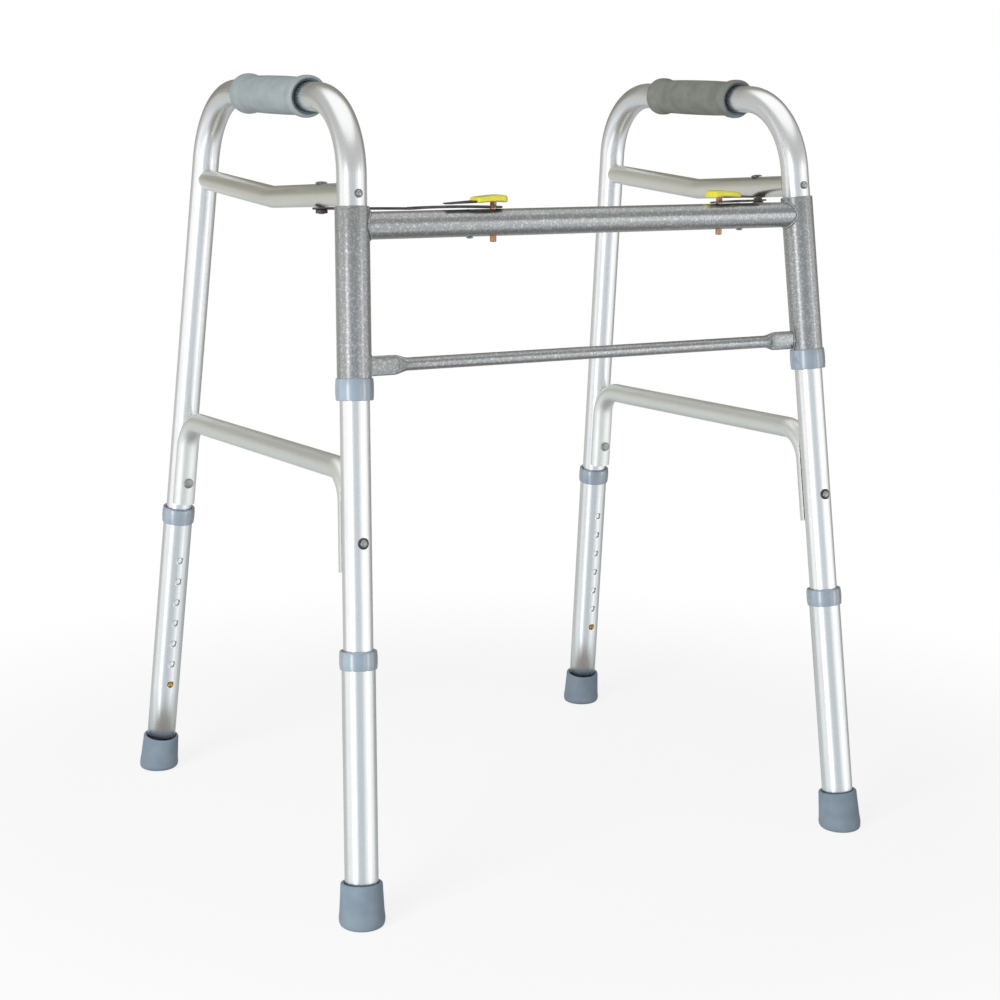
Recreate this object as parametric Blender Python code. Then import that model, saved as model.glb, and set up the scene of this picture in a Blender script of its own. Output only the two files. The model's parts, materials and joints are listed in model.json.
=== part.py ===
"""Folding walking frame, all sizes in metres, +Z up, the crossbar side faces -Y.

Two side frames, each one bent tube, turn in sleeves at the ends of a cross assembly and fold
inwards. Four leg tubes slide on the uprights and are held by sprung buttons.
"""

import math

import bmesh
import bpy
import numpy as np
from mathutils import Matrix, Vector

# Driving sizes: the side frame and the axis that it turns about
FOOT_X = 0.2864
SPLAY = 0.040
LEAN = 0.103
TOE = 0.0126
REAR_FOOT_Y = 0.5390
REAR_LEAN = 0.150
TOP_FRONT_Z = 0.7750
TOP_RISE = 0.031
TOP_BEND = 0.082
TUBE_R = 0.0143
TUBE_BORE = 0.0127
FRONT_TUBE_END = 0.0300
REAR_TUBE_END = 0.0750
GAP = 0.0003
CENTRE_Y = 0.26955

# Handgrip
GRIP_Y = 0.248
GRIP_LENGTH = 0.152
GRIP_R = 0.0192
GRIP_FLANGE_R = 0.0208

# Side rail and lower brace
RAIL_R = 0.0111
RAIL_BORE = 0.0096
RAIL_FRONT_Z = 0.6863
RAIL_KINK_Y = 0.2500
RAIL_KINK_Z = 0.6782
RAIL_REAR_Z = 0.6919
BRACE_R = 0.0111
BRACE_BORE = 0.0097
BRACE_FRONT_Z = 0.4270
BRACE_REAR_Z = 0.4215
BRACE_BEND = 0.034
BRACE_OFFSET = 0.0125
BRACE_WIDEN = 0.12
BRACE_FLATTEN = 0.08
BRACE_CLEAR = 0.0006
BRACE_FRONT_END = 0.3330
BRACE_REAR_END = 0.3280
BRACE_HEAD_R = 0.0056
FRONT_RIVET_Z = 0.3615
REAR_RIVET_Z = 0.3537

# Cross assembly
CROSSBAR_Z = 0.6568
CROSSBAR_R = 0.0132
CROSSBAR_BORE = 0.0116
LOWER_BAR_Z = 0.5255
LOWER_BAR_R = 0.00635
LOWER_BAR_WALL = 0.0012
FLAT_HALF_HEIGHT = 0.0096
FLAT_HALF_THICKNESS = 0.0024
FLAT_LENGTH = 0.042
SLEEVE_TOP = 0.6750
SLEEVE_BOTTOM = 0.5000
SLEEVE_R = 0.0165
COLLAR_R = 0.0183

# Locks, as distances along the crossbar
PIN_X = {-1: -0.1087, 1: 0.1587}
RIVET_FROM_PIN = 0.026
PIN_R = 0.0032
LINK_BOLT_Y = 0.1365
LINK_THICKNESS = 0.0015
LINK_HALF_WIDTH = 0.0092
LINK_LIFT = 0.00075
LINK_TILT_SHARE = 0.90
LINK_RATIO = {-1: -1.08, 1: -0.82}
FOLD_LIMIT = {-1: 80.0, 1: 44.0}
SLOT_HALF_WIDTH = 0.0038
PRESS_TRAVEL = 0.0018
LEVER_TAIL = 0.050
LEVER_TAIL_LIFT = 0.0053
LEVER_RISE = 0.0030
LEVER_THICKNESS = 0.0014
LEVER_END = 0.0618

# Leg tubes, tips and height buttons
LEG_R = 0.0162
LEG_BORE = 0.0146
LEG_BOTTOM = 0.0075
FRONT_LEG_TOP = 0.2568
REAR_LEG_TOP = 0.3163
LEG_COLLAR_BELOW = 0.0143
LEG_COLLAR_ABOVE = 0.0035
TIP_HEIGHT = 0.0410
TIP_TOP_R = 0.0202
TIP_BOTTOM_R = 0.0223
FRONT_BUTTON_Z = 0.0545
REAR_BUTTON_Z = 0.1090
HOLE_PITCH = 0.0254
HOLE_COUNT = 7
BUTTON_R = 0.0033

SIDE_NAME = {-1: "left", 1: "right"}
ROUND = 16


def clear_scene():
    for obj in list(bpy.data.objects):
        bpy.data.objects.remove(obj, do_unlink=True)


def make_material(name, colour, roughness, metallic=0.0):
    """Material that shows the colour in the viewport and in a render."""
    made = bpy.data.materials.new(name)
    made.use_nodes = True
    made.diffuse_color = (*colour, 1.0)
    shader = made.node_tree.nodes["Principled BSDF"]
    shader.inputs["Base Color"].default_value = (*colour, 1.0)
    shader.inputs["Roughness"].default_value = roughness
    shader.inputs["Metallic"].default_value = metallic
    return made


def make_parent(name, point, parent=None):
    """Empty at a world point, on which the pieces of one moving body hang."""
    empty = bpy.data.objects.new(name, None)
    empty.empty_display_size = 0.03
    bpy.context.scene.collection.objects.link(empty)
    hang(empty, point, parent)
    return empty


def hang(obj, point, parent):
    """Puts an object at a world point; no parent here is turned, so places subtract."""
    obj.location = Vector(point) - world_place(parent)
    obj.parent = parent


def world_place(obj):
    place = Vector((0.0, 0.0, 0.0))
    while obj is not None:
        place += obj.location
        obj = obj.parent
    return place


def make_mesh(name, points, faces):
    """Mesh with its faces turned outwards, smooth apart from edges sharper than 40 degrees."""
    mesh = bpy.data.meshes.new(name)
    mesh.from_pydata([tuple(map(float, p)) for p in points], [], [tuple(map(int, f)) for f in faces])
    work = bmesh.new()
    work.from_mesh(mesh)
    bmesh.ops.recalc_face_normals(work, faces=work.faces)
    work.to_mesh(mesh)
    work.free()
    mesh.shade_smooth()
    mesh.set_sharp_from_angle(angle=math.radians(40))
    return mesh


def add_piece(name, shape, origin, parent, material, direction=None):
    """Object from (points, faces) in its own frame, placed at origin with its Z along direction."""
    points, faces = shape
    obj = bpy.data.objects.new(name, make_mesh(name, points, faces))
    obj.data.materials.append(material)
    bpy.context.scene.collection.objects.link(obj)
    if direction is not None:
        obj.rotation_mode = "QUATERNION"
        obj.rotation_quaternion = turn_to(direction)
    hang(obj, origin, parent)
    return obj


def turn_to(direction):
    """Rotation that takes Z to a direction near the vertical, or to any other unit vector."""
    return Vector((0.0, 0.0, 1.0)).rotation_difference(Vector(direction).normalized())


def cut_piece(obj, name, shapes):
    """Cuts one hidden helper, made of separate shapes in the root's frame, out of an object."""
    points = []
    faces = []
    for shape_points, shape_faces in shapes:
        faces += [[len(points) + i for i in face] for face in shape_faces]
        points += list(shape_points)
    cutter = bpy.data.objects.new(name, make_mesh(name, points, faces))
    bpy.context.scene.collection.objects.link(cutter)
    cutter.hide_render = True
    cutter.display_type = "WIRE"
    cutter.parent = obj.parent
    while cutter.parent.parent is not None:
        cutter.parent = cutter.parent.parent
    change = obj.modifiers.new(name, "BOOLEAN")
    change.operation = "DIFFERENCE"
    change.solver = "EXACT"
    change.object = cutter


# Shapes, each as (points, faces)
def turned(profile, segments=ROUND):
    """Solid of revolution: point = (r cos a, r sin a, z). A closed ring profile has no r of 0."""
    points = []
    rings = []
    for r, z in profile:
        if r == 0.0:
            rings.append([len(points)])
            points.append((0.0, 0.0, z))
            continue
        rings.append(list(range(len(points), len(points) + segments)))
        for k in range(segments):
            a = 2.0 * math.pi * k / segments
            points.append((r * math.cos(a), r * math.sin(a), z))
    if profile[0][0] > 0.0:
        rings.append(rings[0])
    return points, join_rings(rings)


def join_rings(rings):
    """Faces between neighbouring rings; a ring of one point is a pole."""
    faces = []
    for low, high in zip(rings[:-1], rings[1:]):
        count = max(len(low), len(high))
        for k in range(count):
            n = (k + 1) % count
            if len(low) == 1:
                faces.append((low[0], high[n], high[k]))
            elif len(high) == 1:
                faces.append((low[k], low[n], high[0]))
            else:
                faces.append((low[k], low[n], high[n], high[k]))
    return faces


def swept(path, normal, radius, bore=0.0, segments=ROUND):
    """Round tube on a flat path: point = path + r (cos a * normal + sin a * side / cos(turn / 2))."""
    path = [Vector(p) for p in path]
    normal = Vector(normal).normalized()
    steps = [(b - a).normalized() for a, b in zip(path[:-1], path[1:])]
    outer = []
    inner = []
    points = []
    for i, centre in enumerate(path):
        before = steps[max(i - 1, 0)]
        after = steps[min(i, len(steps) - 1)]
        along = (before + after).normalized()
        stretch = 1.0 / max(0.2, along.dot(after))
        side = along.cross(normal).normalized() * stretch
        for r, rings in ((radius, outer), (bore, inner)):
            if r == 0.0:
                continue
            rings.append(list(range(len(points), len(points) + segments)))
            for k in range(segments):
                a = 2.0 * math.pi * k / segments
                points.append(centre + r * (math.cos(a) * normal + math.sin(a) * side))
    if bore:
        return points, join_rings(outer + inner[::-1] + [outer[0]])
    return points, join_rings(outer) + [outer[0], outer[-1]]


def rounded(corners, radius, steps):
    """Path through corners, each inner one replaced by an arc of the given radius."""
    corners = [Vector(c) for c in corners]
    path = [corners[0]]
    for last, corner, following in zip(corners[:-2], corners[1:-1], corners[2:]):
        u = (last - corner).normalized()
        v = (following - corner).normalized()
        half = u.angle(v) / 2.0
        centre = corner + (u + v).normalized() * (radius / math.sin(half))
        start = corner + u * (radius / math.tan(half)) - centre
        end = corner + v * (radius / math.tan(half)) - centre
        turn = math.pi - 2.0 * half
        for k in range(steps + 1):
            t = k / steps
            a = math.sin((1.0 - t) * turn) / math.sin(turn)
            b = math.sin(t * turn) / math.sin(turn)
            path.append(centre + start * a + end * b)
    return path + [corners[-1]]


def rod(start, end, radius, segments=10):
    """Plain cylinder between two world points, used as a cutter."""
    start = Vector(start)
    end = Vector(end)
    turn = turn_to(end - start)
    length = (end - start).length
    points, faces = turned([(0.0, 0.0), (radius, 0.0), (radius, length), (0.0, length)], segments)
    return [start + turn @ Vector(p) for p in points], faces


def box(low, high):
    """Box between two corners."""
    points = [(x, y, z) for x in (low[0], high[0]) for y in (low[1], high[1]) for z in (low[2], high[2])]
    return points, [(0, 1, 3, 2), (4, 6, 7, 5), (0, 4, 5, 1), (2, 3, 7, 6), (0, 2, 6, 4), (1, 5, 7, 3)]


def plate(outline, low, high):
    """Flat plate: the outline in X and Y, extruded from low to high."""
    count = len(outline)
    points = [(x, y, low) for x, y in outline] + [(x, y, high) for x, y in outline]
    faces = [tuple(range(count)), tuple(range(count, 2 * count))]
    faces += [(k, (k + 1) % count, count + (k + 1) % count, count + k) for k in range(count)]
    return points, faces


def strip(path, width, thickness):
    """Leaf of constant thickness: the path in X and Z, and the width across Y."""
    path = [Vector((x, 0.0, z)) for x, z in path]
    across = Vector((0.0, 1.0, 0.0))
    points = []
    rings = []
    for i, centre in enumerate(path):
        before = path[i] - path[i - 1] if i else path[1] - path[0]
        after = path[i + 1] - path[i] if i + 1 < len(path) else before
        along = (before.normalized() + after.normalized()).normalized()
        off = along.cross(across) * (thickness / 2.0 / max(0.3, along.dot(after.normalized())))
        rings.append(list(range(len(points), len(points) + 4)))
        for sign, way in ((-1, -1), (1, -1), (1, 1), (-1, 1)):
            points.append(centre + across * (sign * width / 2.0) + off * way)
    return points, join_rings(rings) + [rings[0], rings[-1]]


# The side frame's plane, with side -1 for left and 1 for right
def in_plane(side, y, z):
    x = FOOT_X - SPLAY * z + TOE * (y - LEAN * z)
    return Vector((side * x, y, z))


def front_axis(side, z):
    return in_plane(side, LEAN * z, z)


def rear_axis(side, z):
    return in_plane(side, REAR_FOOT_Y - REAR_LEAN * z, z)


def hinge_direction(side):
    return (front_axis(side, 1.0) - front_axis(side, 0.0)).normalized()


def rear_direction(side):
    return (rear_axis(side, 1.0) - rear_axis(side, 0.0)).normalized()


def plane_normal(side):
    """Across the side frame, towards +X on both sides."""
    across = hinge_direction(side).cross(rear_axis(side, 0.0) - front_axis(side, 0.0)).normalized()
    return across if across.x > 0.0 else -across


def inward(side, rear):
    """Unit vector in the frame's plane, square to an upright, towards the other upright."""
    along = rear_direction(side) if rear else hinge_direction(side)
    level = along.cross(plane_normal(side)).normalized()
    wanted = -1.0 if rear else 1.0
    return level if level.y * wanted > 0.0 else -level


def top_corners(side):
    front_y = LEAN * TOP_FRONT_Z
    rear_z = TOP_FRONT_Z + TOP_RISE * (REAR_FOOT_Y - front_y)
    rear_z = rear_z / (1.0 + TOP_RISE * REAR_LEAN)
    return front_axis(side, TOP_FRONT_Z), rear_axis(side, rear_z)


def top_point(side, y):
    front, rear = top_corners(side)
    return front + (rear - front) * ((y - front.y) / (rear.y - front.y))


def crossing(point_a, along_a, point_b, along_b):
    """Nearest point to two lines in one plane, which is where they cross."""
    across = along_a.cross(along_b)
    t = (point_b - point_a).cross(along_b).dot(across) / across.length_squared
    return point_a + along_a * t


# The lock link: a flat bar on the side rail's bolt, with a curved slot for the latch pin
def rail_height(y):
    front_y = LEAN * RAIL_FRONT_Z
    share = (y - front_y) / (RAIL_KINK_Y - front_y)
    return RAIL_FRONT_Z + (RAIL_KINK_Z - RAIL_FRONT_Z) * share


def crossbar_y():
    return LEAN * CROSSBAR_Z


def latch_top(side):
    """Top of the crossbar above the latch pin."""
    return Vector((PIN_X[side], crossbar_y(), CROSSBAR_Z + CROSSBAR_R))


def link_normal(side):
    """The link lies between level and square to the fold axis, so it stays near the crossbar."""
    level = Vector((0.0, 0.0, 1.0))
    return (level * (1.0 - LINK_TILT_SHARE) + hinge_direction(side) * LINK_TILT_SHARE).normalized()


def link_frame(side):
    """(bolt point, direction to the pin, sideways direction, normal, distance) at the link's underside."""
    normal = link_normal(side)
    pin = latch_top(side) + Vector((0.0, 0.0, LINK_LIFT))
    bolt = in_plane(side, LINK_BOLT_Y, rail_height(LINK_BOLT_Y))
    bolt.z = pin.z - (normal.x * (bolt.x - pin.x) + normal.y * (bolt.y - pin.y)) / normal.z
    along = (pin - bolt).normalized()
    return bolt, along, normal.cross(along), normal, (pin - bolt).length


def slot_path(side, count=11):
    """Where the pin stands in the resting link's plane, as (along, sideways), as the frame folds."""
    bolt, along, sideways, normal, _ = link_frame(side)
    axis = hinge_direction(side)
    hinge = front_axis(side, bolt.z)
    pin = latch_top(side)
    path = []
    for k in range(count):
        fold = side * math.radians(FOLD_LIMIT[side]) * k / (count - 1)
        frame_turn = Matrix.Rotation(fold, 3, axis)
        link_turn = Matrix.Rotation(LINK_RATIO[side] * fold, 3, normal)
        bolt_now = hinge + frame_turn @ (bolt - hinge)
        normal_now = frame_turn @ normal
        fall = normal_now.x * (pin.x - bolt_now.x) + normal_now.y * (pin.y - bolt_now.y)
        on_plate = Vector((pin.x, pin.y, bolt_now.z - fall / normal_now.z))
        local = link_turn.transposed() @ (frame_turn.transposed() @ (on_plate - hinge) + hinge - bolt)
        path.append((local.dot(along), local.dot(sideways)))
    return path


def band(centres, half_width):
    """Outline of a bar along centres, at half_width on both sides, with a half round at each end."""
    centres = np.array(centres)
    along = np.gradient(centres, axis=0)
    along /= np.linalg.norm(along, axis=1)[:, None]
    left = np.column_stack([-along[:, 1], along[:, 0]])
    angles = np.radians(np.arange(30.0, 151.0, 30.0))[:, None]
    far = centres[-1] + half_width * (np.sin(angles) * along[-1] + np.cos(angles) * left[-1])
    near = centres[0] - half_width * (np.sin(angles) * along[0] + np.cos(angles) * left[0])
    upper = centres + half_width * left
    lower = (centres - half_width * left)[::-1]
    return [tuple(p) for p in np.concatenate([upper, far, lower, near])]


def build_link(side, parent, steel):
    name = SIDE_NAME[side]
    bolt, along, sideways, normal, length = link_frame(side)
    path = slot_path(side)
    inner_end = path[-1]
    lead = [(inner_end[0] * t, inner_end[1] * t) for t in (0.0, 0.3, 0.6, 0.85)]
    outline = band(lead + path[::-1], LINK_HALF_WIDTH)
    slot = band(path[::-1], SLOT_HALF_WIDTH)
    obj = add_piece("link_plate_" + name, plate(outline, 0.0, LINK_THICKNESS), bolt, parent, steel)
    frame = Matrix((along, sideways, normal)).transposed()
    obj.rotation_mode = "QUATERNION"
    obj.rotation_quaternion = frame.to_quaternion()
    points, faces = plate(slot, -0.003, 0.005)
    slot_world = ([bolt + frame @ Vector(p) for p in points], faces)
    hole = rod(bolt - normal * 0.003, bolt + normal * 0.005, 0.0048, 16)
    cut_piece(obj, "link_cuts_" + name, [slot_world, hole])
    return obj


def build_link_bolt(side, parent, steel):
    """Dome bolt down through the rail; a shouldered nut below it carries the link."""
    name = SIDE_NAME[side]
    bolt, _, _, normal, _ = link_frame(side)
    rail = rail_height(LINK_BOLT_Y) - bolt.z
    seat = rail + RAIL_R + GAP
    shoulder = rail - RAIL_R - GAP
    shank = [(0.0, -0.0044), (0.0028, -0.0044), (0.0028, seat), (0.0064, seat)]
    dome = [(0.0064, seat + 0.0006), (0.0050, seat + 0.0020), (0.0024, seat + 0.0028), (0.0, seat + 0.0030)]
    add_piece("link_bolt_" + name, turned(shank + dome, 16), bolt, parent, steel, normal)
    nut = [(0.0031, -0.0038), (0.0058, -0.0038), (0.0058, -GAP), (0.0045, -GAP), (0.0045, shoulder)]
    add_piece("link_nut_" + name, turned(nut + [(0.0031, shoulder)], 16), bolt, parent, steel, normal)


# Cross assembly
def build_cross_assembly(root, paint, collar_plastic, rivet_steel):
    y = crossbar_y()
    ends = [front_axis(side, CROSSBAR_Z) for side in (-1, 1)]
    upper = add_piece(
        "crossbar_upper",
        swept([e - Vector((0.0, y, CROSSBAR_Z)) for e in ends], (0, 0, 1), CROSSBAR_R, CROSSBAR_BORE),
        (0.0, y, CROSSBAR_Z),
        root,
        paint,
    )
    copes = []
    holes = []
    for side in (-1, 1):
        copes.append(rod(front_axis(side, 0.600), front_axis(side, 0.720), SLEEVE_R + GAP, ROUND))
        for x, r in ((PIN_X[side], PIN_R + 0.0005), (PIN_X[side] + side * RIVET_FROM_PIN, 0.0026)):
            holes.append(rod((x, y, CROSSBAR_Z - 0.020), (x, y, CROSSBAR_Z + 0.020), r, 12))
    cut_piece(upper, "crossbar_copes", copes)
    cut_piece(upper, "crossbar_holes", holes)
    seats = []
    for side in (-1, 1):
        x = PIN_X[side] + side * RIVET_FROM_PIN
        top = CROSSBAR_Z + CROSSBAR_R
        seats.append(rod((x, y, top - 0.0009), (x, y, top + 0.010), 0.0038, 12))
    cut_piece(upper, "crossbar_rivet_seats", seats)

    lower_y = LEAN * LOWER_BAR_Z
    reach = front_axis(1, LOWER_BAR_Z).x
    lower = add_piece(
        "crossbar_lower", lower_bar_shape(reach), (0.0, lower_y, LOWER_BAR_Z), root, paint
    )
    copes = [rod(front_axis(s, 0.480), front_axis(s, 0.570), SLEEVE_R + GAP, ROUND) for s in (-1, 1)]
    cut_piece(lower, "lower_bar_copes", copes)

    for side in (-1, 1):
        name = SIDE_NAME[side]
        along = hinge_direction(side)
        tall = 1.0 / along.z
        start = front_axis(side, SLEEVE_BOTTOM)
        length = (SLEEVE_TOP - SLEEVE_BOTTOM) * tall
        bore = TUBE_R + GAP
        sleeve = [(bore, 0.0), (SLEEVE_R, 0.0), (SLEEVE_R, length), (bore, length)]
        add_piece("sleeve_" + name, turned(sleeve), start, root, paint, along)
        collar = [
            (bore, -0.0055),
            (COLLAR_R - 0.0008, -0.0055),
            (COLLAR_R, -0.0045),
            (COLLAR_R, 0.0147),
            (COLLAR_R - 0.0008, 0.0155),
            (SLEEVE_R + GAP, 0.0155),
            (SLEEVE_R + GAP, -GAP),
            (bore, -GAP),
        ]
        add_piece("sleeve_collar_" + name, turned(collar), start, root, collar_plastic, along)
        rivet_at = (PIN_X[side] + side * RIVET_FROM_PIN, y, CROSSBAR_Z)
        under = -CROSSBAR_R
        rivet = [
            (0.0, under - 0.0026),
            (0.0020, under - 0.0023),
            (0.0034, under - 0.0014),
            (0.0034, under - GAP),
            (0.0022, under - GAP),
            (0.0022, CROSSBAR_R - 0.0006),
            (0.0034, CROSSBAR_R - 0.0006),
            (0.0034, CROSSBAR_R),
            (0.0, CROSSBAR_R + 0.0001),
        ]
        add_piece("guide_rivet_" + name, turned(rivet, 12), rivet_at, root, rivet_steel)


def lower_bar_shape(reach, segments=16):
    """Thin tube along X with its ends pressed flat: half height and half thickness change, not the wall."""
    flat_start = reach - FLAT_LENGTH
    stations = [(reach, 1.0), (flat_start, 1.0), (flat_start - 0.006, 0.6), (flat_start - 0.014, 0.0)]
    stations = [(-x, flat) for x, flat in stations] + stations[::-1]
    points = []
    rings = {0: [], 1: []}
    for x, flat in stations:
        high = LOWER_BAR_R + (FLAT_HALF_HEIGHT - LOWER_BAR_R) * flat
        thick = LOWER_BAR_R + (FLAT_HALF_THICKNESS - LOWER_BAR_R) * flat
        for inside in (0, 1):
            rings[inside].append(list(range(len(points), len(points) + segments)))
            for k in range(segments):
                a = 2.0 * math.pi * k / segments
                y = (thick - inside * LOWER_BAR_WALL) * math.cos(a)
                z = (high - inside * LOWER_BAR_WALL) * math.sin(a)
                points.append((x, y, z))
    return points, join_rings(rings[0] + rings[1][::-1] + [rings[0][0]])


# Release levers and latch pins
def pad_shape():
    """Arched cover: sections across the lever at (along, half width, underside, top), corners taken off."""
    stations = [
        (0.0282, 0.0078, -0.0004, 0.0026),
        (0.0290, 0.0092, -0.0008, 0.0038),
        (0.0320, 0.0100, -0.0010, 0.0045),
        (0.0400, 0.0102, -0.0010, 0.0049),
        (0.0490, 0.0102, -0.0009, 0.0051),
        (0.0570, 0.0102, -0.0008, 0.0050),
        (0.0615, 0.0098, -0.0006, 0.0045),
        (0.0635, 0.0088, -0.0003, 0.0037),
        (0.0641, 0.0076, 0.0002, 0.0029),
    ]
    bevel = 0.0011
    points = []
    rings = []
    for x, half, low, high in stations:
        rings.append(list(range(len(points), len(points) + 8)))
        crown = high + 0.0003
        corners = [(half, low), (half, high - bevel), (half - bevel, high), (half - 3.0 * bevel, crown)]
        points += [(x, y, z) for y, z in corners]
        points += [(x, -y, z) for y, z in corners[::-1]]
    return points, join_rings(rings) + [rings[0], rings[-1]]


def build_lever(side, parent, dark_steel, yellow):
    """Leaf that rocks on its tail, and the pad over its inner end."""
    name = SIDE_NAME[side]
    tail = latch_top(side) + Vector((side * LEVER_TAIL, 0.0, LEVER_TAIL_LIFT))
    slope = math.atan2(LEVER_RISE, LEVER_TAIL)
    along = Vector((-side * math.cos(slope), 0.0, math.sin(slope)))
    across = Vector((0.0, 1.0, 0.0)) * -side
    frame = Matrix((along, across, along.cross(across))).transposed()
    turn = frame.to_quaternion()
    leaf_shape = box((-0.002, -0.0075, 0.0), (LEVER_END, 0.0075, LEVER_THICKNESS))
    leaf = add_piece("release_lever_" + name, leaf_shape, tail, parent, dark_steel)
    pad = add_piece("lever_pad_" + name, pad_shape(), tail, parent, yellow)
    for obj in (leaf, pad):
        obj.rotation_mode = "QUATERNION"
        obj.rotation_quaternion = turn
    pin_foot = latch_top(side)
    hole = rod(pin_foot + Vector((0, 0, 0.004)), pin_foot + Vector((0, 0, 0.0135)), 0.0030)
    cut_piece(leaf, "lever_hole_" + name, [hole])
    pocket_low = (0.0200, -0.0078, -0.0040)
    pocket_points, pocket_faces = box(pocket_low, (LEVER_END + GAP, 0.0078, LEVER_THICKNESS + GAP))
    pocket = ([tail + frame @ Vector(p) for p in pocket_points], pocket_faces)
    cut_piece(pad, "pad_pocket_" + name, [pocket])
    recess = rod(pin_foot + Vector((0, 0, 0.0070)), pin_foot + Vector((0, 0, 0.0121)), 0.0045)
    cut_piece(pad, "pad_recess_" + name, [recess])


def build_latch(side, pin_parent, copper, spring_steel):
    name = SIDE_NAME[side]
    top = latch_top(side)
    pin = [
        (0.0, -0.0324),
        (0.0022, -0.0322),
        (PIN_R, -0.0312),
        (PIN_R, -0.0096),
        (0.0052, -0.0096),
        (0.0052, -0.0080),
        (PIN_R, -0.0080),
        (PIN_R, 0.0065),
        (0.0046, 0.0065),
        (0.0046, 0.0075),
        (0.0021, 0.0075),
        (0.0021, 0.0103),
        (0.0034, 0.0103),
        (0.0034, 0.0110),
        (0.0, 0.0112),
    ]
    add_piece("latch_pin_" + name, turned(pin, 16), top, pin_parent, copper)
    coil = coil_curve("latch_spring_" + name, 0.0046, 0.00045, -0.0238, -0.0104, 5, 8)
    coil.data.materials.append(spring_steel)
    hang(coil, top, pin_parent)


def coil_curve(name, radius, wire, low, high, turns, per_turn):
    """Coil spring: point = (R cos a, R sin a, low + (high - low) a / (2 pi turns))."""
    count = turns * per_turn + 1
    angle = np.linspace(0.0, 2.0 * math.pi * turns, count)
    height = low + (high - low) * angle / angle[-1]
    points = np.column_stack([radius * np.cos(angle), radius * np.sin(angle), height, np.ones(count)])
    print(name, "least gap between turns in mm:", round(1000 * ((high - low) / turns - 2 * wire), 2))
    curve = bpy.data.curves.new(name, "CURVE")
    curve.dimensions = "3D"
    curve.bevel_depth = wire
    curve.bevel_resolution = 1
    curve.use_fill_caps = True
    line = curve.splines.new("POLY")
    line.points.add(count - 1)
    line.points.foreach_set("co", points.ravel())
    obj = bpy.data.objects.new(name, curve)
    bpy.context.scene.collection.objects.link(obj)
    return obj


# Side frames
def build_side_frame(side, parent, aluminium, grip_foam, rail_paint, screw_steel):
    name = SIDE_NAME[side]
    normal = plane_normal(side)
    front_top, rear_top = top_corners(side)
    foot = front_axis(side, FRONT_TUBE_END)
    corners = [foot, front_top, rear_top, rear_axis(side, REAR_TUBE_END)]
    path = [p - foot for p in rounded(corners, TOP_BEND, 6)]
    tube = swept(path, normal, TUBE_R, TUBE_BORE)
    frame = add_piece("side_frame_" + name, tube, foot, parent, aluminium)

    front_in = inward(side, False)
    rear_in = inward(side, True)
    screw_front = front_axis(side, RAIL_FRONT_Z)
    screw_rear = rear_axis(side, RAIL_REAR_Z)
    rivet_front = front_axis(side, FRONT_RIVET_Z)
    rivet_rear = rear_axis(side, REAR_RIVET_Z)
    button_front = front_axis(side, FRONT_BUTTON_Z)
    button_rear = rear_axis(side, REAR_BUTTON_Z)
    holes = [
        rod(screw_front - front_in * 0.020, screw_front + front_in * 0.020, 0.0026),
        rod(screw_rear - rear_in * 0.020, screw_rear + rear_in * 0.020, 0.0026),
        rod(rivet_front - front_in * 0.020, rivet_front + front_in * 0.020, 0.0027),
        rod(rivet_rear - rear_in * 0.020, rivet_rear + rear_in * 0.020, 0.0027),
        rod(button_front + front_in * 0.006, button_front + front_in * 0.020, BUTTON_R + 0.0004),
        rod(button_rear + rear_in * 0.006, button_rear + rear_in * 0.020, BUTTON_R + 0.0004),
    ]
    cut_piece(frame, "side_frame_holes_" + name, holes)

    half = GRIP_LENGTH / 2.0
    bore = TUBE_R + GAP
    grip = [
        (bore, -half),
        (GRIP_FLANGE_R - 0.002, -half),
        (GRIP_FLANGE_R, -half + 0.003),
        (GRIP_FLANGE_R, -half + 0.009),
        (GRIP_R - 0.0008, -half + 0.014),
        (GRIP_R, -half + 0.035),
        (GRIP_R, half - 0.035),
        (GRIP_R - 0.0008, half - 0.014),
        (GRIP_FLANGE_R, half - 0.009),
        (GRIP_FLANGE_R, half - 0.003),
        (GRIP_FLANGE_R - 0.002, half),
        (bore, half),
    ]
    level = rear_top - front_top
    add_piece("grip_" + name, turned(grip), top_point(side, GRIP_Y), parent, grip_foam, level)

    build_rail(side, parent, rail_paint, screw_front, front_in, screw_rear, rear_in)
    build_brace(side, parent, rail_paint, rivet_front, front_in, rivet_rear, rear_in)

    out = TUBE_R + GAP
    screw = [
        (0.0, -out - 0.0026),
        (0.0026, -out - 0.0023),
        (0.0046, -out - 0.0010),
        (0.0046, -out),
        (0.0023, -out),
        (0.0023, out + 0.0100),
        (0.0, out + 0.0112),
    ]
    add_piece("rail_front_screw_" + name, turned(screw, 12), screw_front, parent, screw_steel, front_in)
    add_piece("rail_rear_screw_" + name, turned(screw, 12), screw_rear, parent, screw_steel, rear_in)
    far = BRACE_OFFSET + BRACE_R * (1.0 - BRACE_FLATTEN) + GAP
    rivet = [
        (0.0, -out - 0.0024),
        (0.0030, -out - 0.0021),
        (BRACE_HEAD_R, -out - 0.0008),
        (BRACE_HEAD_R, -out),
        (0.0024, -out),
        (0.0024, far),
        (BRACE_HEAD_R, far),
        (BRACE_HEAD_R, far + 0.0008),
        (0.0030, far + 0.0021),
        (0.0, far + 0.0024),
    ]
    add_piece("brace_front_rivet_" + name, turned(rivet, 12), rivet_front, parent, screw_steel, front_in)
    add_piece("brace_rear_rivet_" + name, turned(rivet, 12), rivet_rear, parent, screw_steel, rear_in)


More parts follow.
